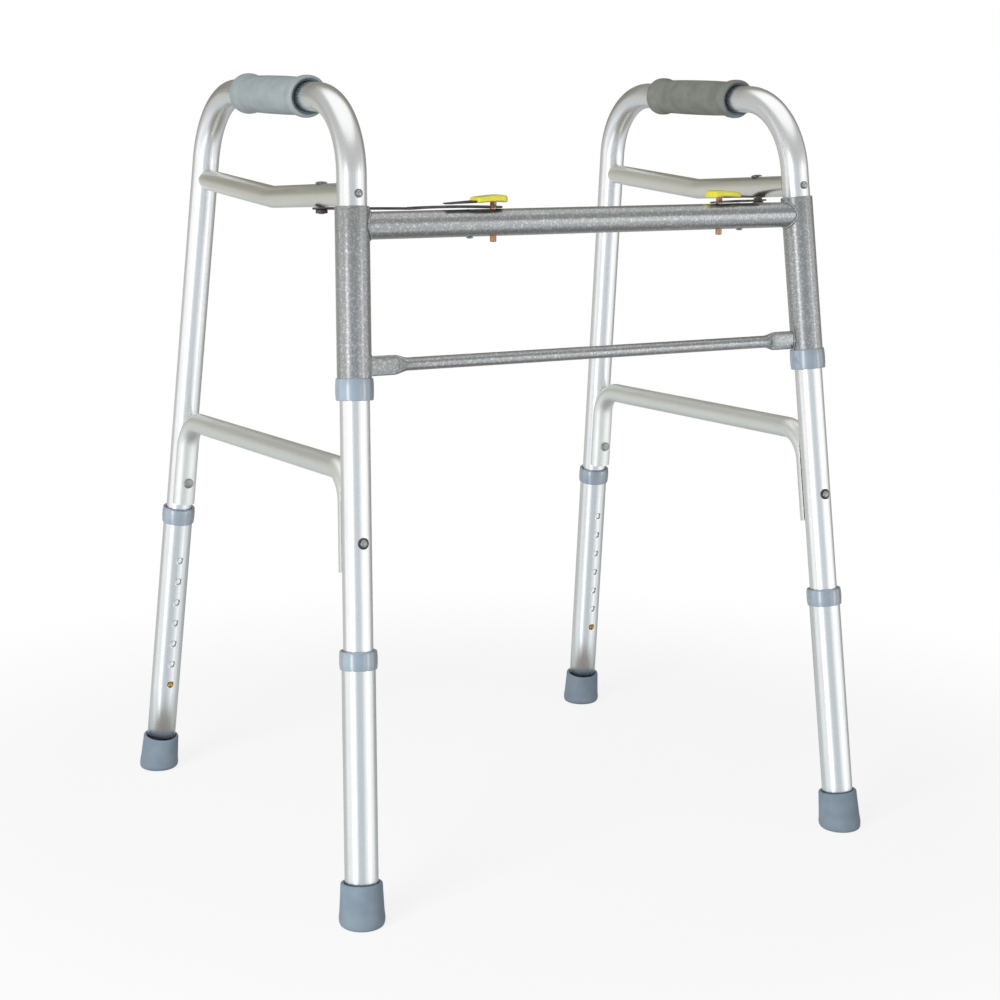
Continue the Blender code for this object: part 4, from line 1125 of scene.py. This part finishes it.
# %% Screws and rivets
OUT = TUBE_R + SMALL_GAP
WASHER_T = 0.0008
RING_BORE = 0.0020
SCREW_RING_R = 0.0042
SCREW_DOME_R = 0.0031
SCREW_SHANK_R = 0.0023
RIVET_HEAD_R = 0.0056
RIVET_DOME_R = 0.0037
RIVET_SHANK_R = 0.0024
RIVET_HEIGHTS = {False: 0.3615, True: 0.3537}
RAIL_SCREW_HEIGHTS = {False: RAIL_FRONT_HEIGHT, True: RAIL_REAR_HEIGHT}


def dome(radius, height, base, way):
    """Quarter circle squashed to height: r = radius cos a, z = base + way height sin a, on a foot."""
    a = np.linspace(0.0, math.pi / 2.0, 7)
    z = base + way * height * (0.25 + 0.75 * np.sin(a))
    return np.concatenate([[(radius, base)], np.stack([radius * np.cos(a), z], axis=1)])


def fastener(name, node, profile, origin, direction, plating=None):
    made = mesh_object(name, skin(turned(profile, origin, direction, 32)))
    return dress(made, node, plating or FINISH_OF[SLOT_OF[node]])


def shade_seat_ring(name, node, radius, origin, direction, across, plating):
    """Pressed ring bent on to the tube, whose dark plating paints the shade round the head: each point moves
    along direction by R - sqrt(R^2 - u^2).
    """
    low, high = -OUT, -OUT - WASHER_T
    edges = [(RING_BORE, low), (radius, low), (radius, high), (RING_BORE, high), (RING_BORE, low)]
    grid = turned(soften(edges, 0.0003, 3), origin, direction, 40)
    u = (grid - origin) @ across
    grid = grid + (TUBE_R - np.sqrt(TUBE_R * TUBE_R - u * u))[..., None] * direction
    return dress(mesh_object(name, skin(grid)), node, plating, stands_in=False)


far = BRACE_OFFSET + BRACE_R * (1.0 - BRACE_FLATTEN) + SMALL_GAP
screw_end = [(SCREW_SHANK_R, -OUT), (SCREW_SHANK_R, OUT + 0.0100), (0.0, OUT + 0.0112)]
screw = np.concatenate([dome(SCREW_DOME_R, 0.0024, -OUT - 0.0002, -1.0)[::-1], screw_end])
rivet_shank = [(RIVET_SHANK_R, -OUT), (RIVET_SHANK_R, far)]
rivet_head = dome(RIVET_DOME_R, 0.0022, -OUT - 0.0002, -1.0)[::-1]
rivet = np.concatenate([rivet_head, rivet_shank, dome(RIVET_HEAD_R, 0.0022, far, 1.0)])
# The seat rings' platings, spring wire and dark coat, paint the shade round the heads.
KINDS = (
    ("screw", "rail_{}_screw_{}", screw, RAIL_SCREW_HEIGHTS, SCREW_RING_R, spring_wire),
    ("rivet", "brace_{}_rivet_{}", rivet, RIVET_HEIGHTS, RIVET_HEAD_R, dark_coat),
)
for side, rear, _ in UPRIGHTS:
    for kind, node_name, profile, height, ring_r, plating in KINDS:
        way = inward(side, rear)
        at = upright(side, rear, height[rear])
        node = node_name.format(ENDS[rear], SIDES[side])
        tail = f"_{ENDS[rear]}_{SIDES[side]}"
        fastener(kind + tail, node, profile, at, way)
        shade_seat_ring(kind + "_ring" + tail, node, ring_r, at, way, plane_normal(side), plating)

# %% Snap buttons
BUTTON_R = 0.0033
NOSE_START = 0.0158
NOSE_LENGTH = 0.0026
quarter = np.linspace(0.0, math.pi / 2.0, 9)
nose = np.stack([BUTTON_R * np.cos(quarter), NOSE_START + NOSE_LENGTH * np.sin(quarter)], axis=1)
button = np.concatenate([[(0.0, 0.0077), (0.0050, 0.0077), (0.0050, 0.0092), (BUTTON_R, 0.0092)], nose])
for side, rear, name in UPRIGHTS:
    at = upright(side, rear, BUTTON_HEIGHTS[rear])
    fastener("button_" + name, "snap_button_" + name, button, at, inward(side, rear))

# %% [markdown]
# Behind each button sits a bent strip of spring steel, which closes up as the button is pressed.
# The strip's section, a rounded oblong, is carried along its bent middle line. On the real
# frame its inner arm stays with the frame and its outer arm follows the button; here the strip
# keeps its rest shape, joined to no body.

# %% Snap springs
STRIP_HALF_WIDTH = 0.0030
STRIP_HALF_THICK = 0.00035
STRIP_BEND = 0.0022
STRIP_LINE = [(0.0070, -0.0080), (0.0070, 0.0080), (0.0040, 0.0290), (0.0005, 0.0355)]
STRIP_LINE += [(-0.0045, 0.0355), (-0.0085, 0.0290), (-0.0116, 0.0060), (-0.0116, -0.0080)]


def rounded_oblong(half_width, half_height, angle, power, second_power):
    """(w, t) with w = W c|c|^(k-1), t = T s|s|^(m-1), for the powers k and m."""
    c, s = np.cos(angle), np.sin(angle)
    return half_width * np.sign(c) * np.abs(c) ** power, half_height * np.sign(s) * np.abs(s) ** second_power


def closed_ends(grid, first, last):
    """Skin with both end rows drawn together to a point."""
    return skin(np.broadcast_to(first, grid[:1].shape), grid, np.broadcast_to(last, grid[:1].shape))


def strap(path, across):
    """Flat strip: path + w across + t normal, (w, t) round a rounded oblong."""
    normal = np.cross(across, np.gradient(path, axis=0))
    normal /= np.linalg.norm(normal, axis=1)[:, None]
    w, t = rounded_oblong(STRIP_HALF_WIDTH, STRIP_HALF_THICK, full_turn(24), 0.2, 0.6)
    grid = path[:, None] + w[None, :, None] * across + t[None, :, None] * normal[:, None]
    return closed_ends(grid, path[0], path[-1])


for side, rear, name in UPRIGHTS:
    at = upright(side, rear, BUTTON_HEIGHTS[rear])
    way = inward(side, rear)
    along = upright_direction(side, rear)
    path = bent_path([at + way * out + along * up for out, up in STRIP_LINE], STRIP_BEND, 6)
    made = mesh_object("strip_spring_" + name, strap(path, np.cross(along, way)))
    made.data.materials.append(spring_wire)
    node = "snap_spring_" + name
    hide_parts(node)
    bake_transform(made)
    print(made.name, "strip length", round(float(lengths_along(path)[-1]), 4))

# %% [markdown]
# ## The locks
# A flat link reaches from the rail's bolt to a copper pin in the cross tube. The pin hangs from a
# sprung leaf with a yellow pad, which the thumb presses down to free the frame. The link is a
# copy of the CAD's plate, made a little thicker with soft edges. The rest is turned or lofted.

# %% Bolt and pin places
PIN_X = {-1: -0.1087, 1: 0.1587}
RIVET_FROM_PIN = 0.026
PIN_R = 0.0032
BOLT_DEPTH = 0.1365
LINK_LIFT = 0.00075
LINK_TILT_SHARE = 0.90


def latch_top(side):
    """Top of the cross tube above the pin."""
    return bar_middle(CROSSBAR_HEIGHT) + ACROSS * PIN_X[side] + UP * CROSSBAR_R


def rail_height(depth):
    """Straight line from the rail's front end to its kink."""
    front_depth = LEAN * RAIL_FRONT_HEIGHT
    share = (depth - front_depth) / (RAIL_KINK[0] - front_depth)
    return RAIL_FRONT_HEIGHT + (RAIL_KINK[1] - RAIL_FRONT_HEIGHT) * share


def link_bolt(side):
    """(point, normal) of the link's underside at the bolt; the plate also passes the pin's foot."""
    normal = unit(UP * (1.0 - LINK_TILT_SHARE) + upright_direction(side, False) * LINK_TILT_SHARE)
    pin = latch_top(side) + UP * LINK_LIFT
    bolt = in_plane(side, BOLT_DEPTH, rail_height(BOLT_DEPTH))
    bolt[2] = pin[2] - (normal[:2] @ (bolt - pin)[:2]) / normal[2]
    return bolt, normal


# %% Bolts, nuts, pins, coils and guide rivets
COIL_R = 0.0046
COIL_WIRE = 0.00045
COIL_LOW = -0.0238
COIL_HIGH = -0.0104
COIL_TURNS = 5
BOLT_HEAD = (0.0058, 0.0020)
BOLT_LOW = -0.0044
THREAD_R = 0.0031
NUT_R = 0.0058
SHOULDER_R = 0.0045
GUIDE_R = 0.0034
GUIDE_SHANK_R = 0.0022
PIN_LINE = [(0.0, -0.0324), (PIN_R, -0.0318), (PIN_R, -0.0096), (0.0052, -0.0096), (0.0052, -0.0080)]
PIN_LINE += [(PIN_R, -0.0080), (PIN_R, 0.0065), (0.0046, 0.0065), (0.0046, 0.0075), (0.0021, 0.0075)]
PIN_LINE += [(0.0021, 0.0103), (0.0034, 0.0103), (0.0034, 0.0111), (0.0, 0.0112)]
guide_end = -CROSSBAR_R - SMALL_GAP
GUIDE_LINE = [(GUIDE_SHANK_R, guide_end), (GUIDE_SHANK_R, CROSSBAR_R - 0.0006)]
GUIDE_LINE += [(GUIDE_R, CROSSBAR_R - 0.0006), (GUIDE_R, CROSSBAR_R), (0.0, CROSSBAR_R + 0.0001)]
guide = np.concatenate([dome(GUIDE_R, 0.0015, guide_end, -1.0)[::-1], GUIDE_LINE])


def coil(start):
    """Round wire on a helix: (R cos a, R sin a, low + (high - low) a / a_end)."""
    a = np.linspace(0.0, 2.0 * math.pi * COIL_TURNS, 24 * COIL_TURNS + 1)
    lift = COIL_LOW + (COIL_HIGH - COIL_LOW) * a / a[-1]
    helix = start + np.stack([COIL_R * np.cos(a), COIL_R * np.sin(a), lift], axis=1)
    return closed_ends(swept(helix, UP, COIL_WIRE, 12), helix[0], helix[-1])


for side, name in SIDES.items():
    bolt, normal = link_bolt(side)
    top = latch_top(side)
    rise = rail_height(BOLT_DEPTH) - bolt[2]
    seat = rise + RAIL_R + SMALL_GAP
    shoulder = rise - RAIL_R - SMALL_GAP
    shank = [(0.0, BOLT_LOW), (0.0028, BOLT_LOW), (0.0028, seat)]
    bolt_line = np.concatenate([shank, dome(*BOLT_HEAD, seat, 1.0)])
    fastener("link_bolt_head_" + name, "link_bolt_" + name, bolt_line, bolt, normal, spring_wire)
    nut = [(THREAD_R, -0.0030), (THREAD_R, -0.0038), (NUT_R, -0.0038), (NUT_R, -SMALL_GAP)]
    nut += [(SHOULDER_R, -SMALL_GAP), (SHOULDER_R, shoulder), (THREAD_R, shoulder), nut[0]]
    nut = soften(nut, 0.0005)
    fastener("link_nut_shoulder_" + name, "link_nut_" + name, nut, bolt, normal, dark_coat)
    fastener("lock_pin_" + name, "latch_pin_" + name, soften(PIN_LINE, 0.0003, 2), top, UP)
    made = mesh_object("coil_spring_" + name, coil(top))
    dress(made, "latch_spring_" + name, spring_wire)
    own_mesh(made)
    at = top - UP * CROSSBAR_R + ACROSS * side * RIVET_FROM_PIN
    # The guide rivet sits under the cross tube; its darker spring-wire plating paints the tube's shade on
    # it.
    fastener("guide_rivet_turned_" + name, "guide_rivet_" + name, guide, at, UP, spring_wire)
    print("lock", name, "bolt", bolt.round(4), "pin", top.round(4))

# %% Link plates
LINK_SCALE = 1.15
LINK_EDGE = 0.0003
for side, name in SIDES.items():
    bolt, normal = link_bolt(side)
    mesh = frame["nodes"]["link_plate_" + name].data.copy()
    mesh.materials.clear()
    points = np.zeros(len(mesh.vertices) * 3)
    mesh.vertices.foreach_get("co", points)
    height = (points.reshape(-1, 3) - bolt) @ normal
    points += ((height * (LINK_SCALE - 1.0))[:, None] * normal).ravel()
    mesh.vertices.foreach_set("co", points)
    mend(mesh, fresh=False)
    made = add_object("lock_link_" + name, mesh)
    edges = made.modifiers.new("edges", "BEVEL")
    edges.width = LINK_EDGE
    edges.segments = 2
    edges.limit_method = "ANGLE"
    dress(made, "link_plate_" + name, dark_coat)
    print(made.name, "thickness in mm", round(1000 * float(np.ptp(height)) * LINK_SCALE, 2))

# %% [markdown]
# The leaf and its pad are lofts: sections set along the leaf, each a rounded oblong given by its
# half width, underside and top. The pad's sections arch it a little and let its inner end droop.
# The leaf's back edge is folded down to a flange, which stiffens it.

# %% Leaves and thumb pads
LEVER_TAIL = 0.050
LEVER_TAIL_LIFT = 0.0053
LEVER_RISE = 0.0030
LEAF_END = 0.0600
LEAF_THICKNESS = 0.0014
LEAF_HALF = 0.0075
FLANGE_OFF = np.array([0.0, 0.0069, 0.0])
PAD_STATIONS = [
    (0.0286, 0.0066, 0.0000, 0.0016),
    (0.0287, 0.0080, -0.0007, 0.0028),
    (0.0293, 0.0092, -0.0010, 0.0039),
    (0.0320, 0.0100, -0.0010, 0.0047),
    (0.0400, 0.0102, -0.0010, 0.0051),
    (0.0480, 0.0102, -0.0011, 0.0053),
    (0.0550, 0.0102, -0.0020, 0.0051),
    (0.0590, 0.0100, -0.0028, 0.0045),
    (0.0608, 0.0092, -0.0029, 0.0038),
    (0.0616, 0.0080, -0.0022, 0.0030),
    (0.0618, 0.0066, -0.0010, 0.0022),
]
LEAF_STATIONS = [
    (-0.0020, 0.0060, 0.0002, LEAF_THICKNESS - 0.0002),
    (-0.0016, 0.0071, 0.00015, LEAF_THICKNESS - 0.00015),
    (-0.0008, LEAF_HALF, 0.0, LEAF_THICKNESS),
    (0.0282, LEAF_HALF, 0.0, LEAF_THICKNESS),
    (LEAF_END, LEAF_HALF, 0.0, LEAF_THICKNESS),
]
FLANGE_STATIONS = [
    (0.0004, 0.0003, -0.0003, 0.0010),
    (0.0012, 0.0006, -0.0006, 0.0010),
    (0.0060, 0.0006, -0.0008, 0.0010),
    (0.0240, 0.0006, -0.0015, 0.0010),
    (0.0400, 0.0006, -0.0021, 0.0010),
    (0.0570, 0.0006, -0.0021, 0.0010),
    (0.0580, 0.0003, -0.0012, 0.0010),
]


def lofted(stations, origin, axes, power):
    """Sections (along, half width, low, high), each a rounded oblong of the given power."""
    x, half, low, high = (np.asarray(stations)[:, i, None] for i in range(4))
    y, z = rounded_oblong(half, (high - low) / 2.0, full_turn(48)[None, :], power, power)
    points = np.stack(np.broadcast_arrays(x, y, (low + high) / 2.0 + z), axis=-1)
    grid = origin + points @ axes
    return closed_ends(grid, grid[0].mean(axis=0), grid[-1].mean(axis=0))


for side, name in SIDES.items():
    tail = latch_top(side) + np.array([side * LEVER_TAIL, 0.0, LEVER_TAIL_LIFT])
    slope = math.atan2(LEVER_RISE, LEVER_TAIL)
    forward = np.array([-side * math.cos(slope), 0.0, math.sin(slope)])
    sideways = np.array([0.0, -side, 0.0])
    axes = np.stack([forward, sideways, np.cross(forward, sideways)])
    pad = lofted(smooth_through(PAD_STATIONS, 4), tail, axes, 0.42)
    dress(mesh_object("thumb_pad_" + name, pad), "lever_pad_" + name, thumb_vinyl)
    leaf = lofted(LEAF_STATIONS, tail, axes, 0.16)
    flange = lofted(FLANGE_STATIONS, tail + FLANGE_OFF, axes, 0.3)
    dress(mesh_object("leaf_spring_" + name, leaf, flange), "release_lever_" + name, dark_coat)
    print("leaf_spring_" + name, "tail at", tail.round(4))

# %% [markdown]
# ## Studio
# The photograph was lit by two tall soft boxes, left and right, so that every tube shows two
# bright bands with a cooler grey between them. Metal shows little but what it reflects, so the
# world paints those bands for glossy rays alone, each at its compass angle from the camera.
# Camera rays see plain white, and soft lamps light the painted and moulded parts.

# %% World
def even_light(red, green, blue):
    return (red, green, blue, 1.0)


WHITE = even_light(1.0, 1.0, 1.0)
BAND = even_light(1.20, 1.20, 1.20)
BETWEEN = even_light(0.70, 0.755, 0.79)
LEFT_CORE = even_light(3.4, 3.4, 3.4)
RIGHT_CORE = even_light(2.4, 2.4, 2.4)
BEHIND = even_light(0.64, 0.64, 0.59)
RIGHT_REAR = even_light(0.56, 0.57, 0.54)
FAR_BEHIND = even_light(0.34, 0.33, 0.29)
CEILING = even_light(0.60, 0.60, 0.58)
OVERHEAD_BOX = even_light(1.25, 1.25, 1.22)
REAR_WALL = even_light(0.27, 0.255, 0.21)
UNDERFOOT = even_light(0.34, 0.32, 0.28)
BELOW = even_light(0.70, 0.75, 0.79)
BELOW_SHARE = 0.55
SOFT_LIGHT = even_light(0.22, 0.22, 0.22)
TO_CAMERA = (-0.4687, -0.8833, 0.0)
TO_RIGHT = (0.8833, -0.4687, 0.0)
STUDIO_ROUND = [
    (-180.0, FAR_BEHIND),
    (-150.0, BEHIND),
    (-108.0, BEHIND),
    (-94.0, BAND),
    (-52.0, BAND),
    (-38.0, LEFT_CORE),
    (-24.0, BAND),
    (-8.0, BETWEEN),
    (26.0, BETWEEN),
    (38.0, BAND),
    (52.0, BAND),
    (64.0, RIGHT_CORE),
    (76.0, BAND),
    (98.0, BAND),
    (113.0, RIGHT_REAR),
    (140.0, FAR_BEHIND),
    (180.0, FAR_BEHIND),
]
world = bpy.data.worlds.new("studio")
world.use_nodes = True
world.cycles.sampling_method = "NONE"
bpy.context.scene.world = world
tree = world.node_tree
tree.nodes.clear()
direction = add_node(tree, "TexCoord", {}).outputs["Generated"]
forward, sideways = (
    add_node(tree, "VectorMath", {0: direction, 1: way}, operation="DOT_PRODUCT").outputs["Value"]
    for way in (TO_CAMERA, TO_RIGHT)
)
azimuth = arithmetic(tree, "ARCTAN2", sideways, forward)
turn_share = arithmetic(tree, "MULTIPLY_ADD", azimuth, 1.0 / (2.0 * math.pi), 0.5)
ring = add_node(tree, "ValToRGB", {"Fac": turn_share})
ring.color_ramp.interpolation = "EASE"
stops = ring.color_ramp.elements
for _ in STUDIO_ROUND[2:]:
    stops.new(0.5)
# All stops wait in the middle and are then placed in order, so that none overtakes another.
for stop in stops:
    stop.position = 0.5
for stop, (degrees, colour) in zip(stops, STUDIO_ROUND):
    stop.position = degrees / 360.0 + 0.5
    stop.color = colour
upward = add_node(tree, "SeparateXYZ", {0: direction}).outputs["Z"]
low_share = spread(tree, upward, -0.45, -0.15, BELOW_SHARE, 0.0)
reflected = blended(tree, low_share, ring.outputs["Color"], BELOW)
reflected = blended(tree, spread(tree, upward, -0.90, -0.62, 1.0, 0.0), reflected, UNDERFOOT)
reflected = blended(tree, spread(tree, upward, 0.10, 0.34), reflected, CEILING)
reflected = blended(tree, spread(tree, upward, 0.66, 0.80), reflected, OVERHEAD_BOX)
to_rear = spread(tree, forward, -0.70, -0.40, 1.0, 0.0)
wall_share = arithmetic(tree, "MULTIPLY", to_rear, spread(tree, upward, -0.08, 0.14))
reflected = blended(tree, wall_share, reflected, REAR_WALL)
rays = add_node(tree, "LightPath", {}).outputs
shiny = arithmetic(tree, "MAXIMUM", rays["Is Glossy Ray"], rays["Is Transmission Ray"])
seen = blended(tree, rays["Is Camera Ray"], blended(tree, shiny, SOFT_LIGHT, reflected), WHITE)
background = add_node(tree, "Background", {"Color": seen, "Strength": 1.0})
add_node(tree, "OutputWorld", {"Surface": background.outputs[0]})
print("stops round the studio", len(stops))

# %% Lamps
LAMPS = {
    "key_left": ((-2.6, -1.5, 1.5), 1.3, 70.0),
    "fill_right": ((1.6, -2.2, 0.9), 1.4, 4.0),
    "top_soft": ((0.2, 0.3, 2.6), 1.6, 5.0),
}
LAMP_TARGET = Vector((0.0, 0.0, 0.4))
for name, (place_at, size, power) in LAMPS.items():
    lamp = bpy.data.lights.new(name, "AREA")
    lamp.energy = power
    lamp.size = size
    stand = add_object(name, lamp)
    stand.location = place_at
    stand.rotation_euler = (LAMP_TARGET - Vector(place_at)).to_track_quat("-Z", "Y").to_euler()
    stand.visible_glossy = False
    print(name, "at", place_at, "watts", power)

# %% [markdown]
# The floor is a pale sheet that runs out into the white background. It keeps the soft shadows
# round the feet and fades to plain white further out. Metal does not see it, because the
# studio's bands reach below the horizon, as light from a pale floor does.

# %% Floor
FLOOR_R = 6.0
FADE_FROM = 0.45
FADE_TO = 1.1
FLOOR_KEEP = 0.15
PAPER = even_light(0.93, 0.93, 0.93)
radii = np.array([0.0, 0.4, 0.8, 1.6, 3.0, FLOOR_R])[:, None]
angles = full_turn(64)
disc = np.stack(np.broadcast_arrays(radii * np.cos(angles), radii * np.sin(angles), 0.0), axis=-1)
floor = mesh_object("floor", skin(disc))
floor_finish = bpy.data.materials.new("studio_floor")
floor_finish.use_nodes = True
tree = floor_finish.node_tree
tree.nodes.clear()
place = coordinates(tree, "Object")
centre_off = add_node(tree, "VectorMath", {0: place}, operation="LENGTH").outputs["Value"]
paper = add_node(tree, "BsdfDiffuse", {"Color": PAPER}).outputs[0]
white = add_node(tree, "Emission", {"Color": WHITE, "Strength": 1.0}).outputs[0]
seen = add_node(tree, "LightPath", {}).outputs["Is Camera Ray"]
far_share = spread(tree, centre_off, FADE_FROM, FADE_TO, 1.0 - FLOOR_KEEP, 1.0)
fade = arithmetic(tree, "MULTIPLY", seen, far_share)
sheet = add_node(tree, "MixShader", {0: fade, 1: paper, 2: white})
add_node(tree, "OutputMaterial", {"Surface": sheet.outputs[0]})
floor.data.materials.append(floor_finish)
floor.visible_glossy = False
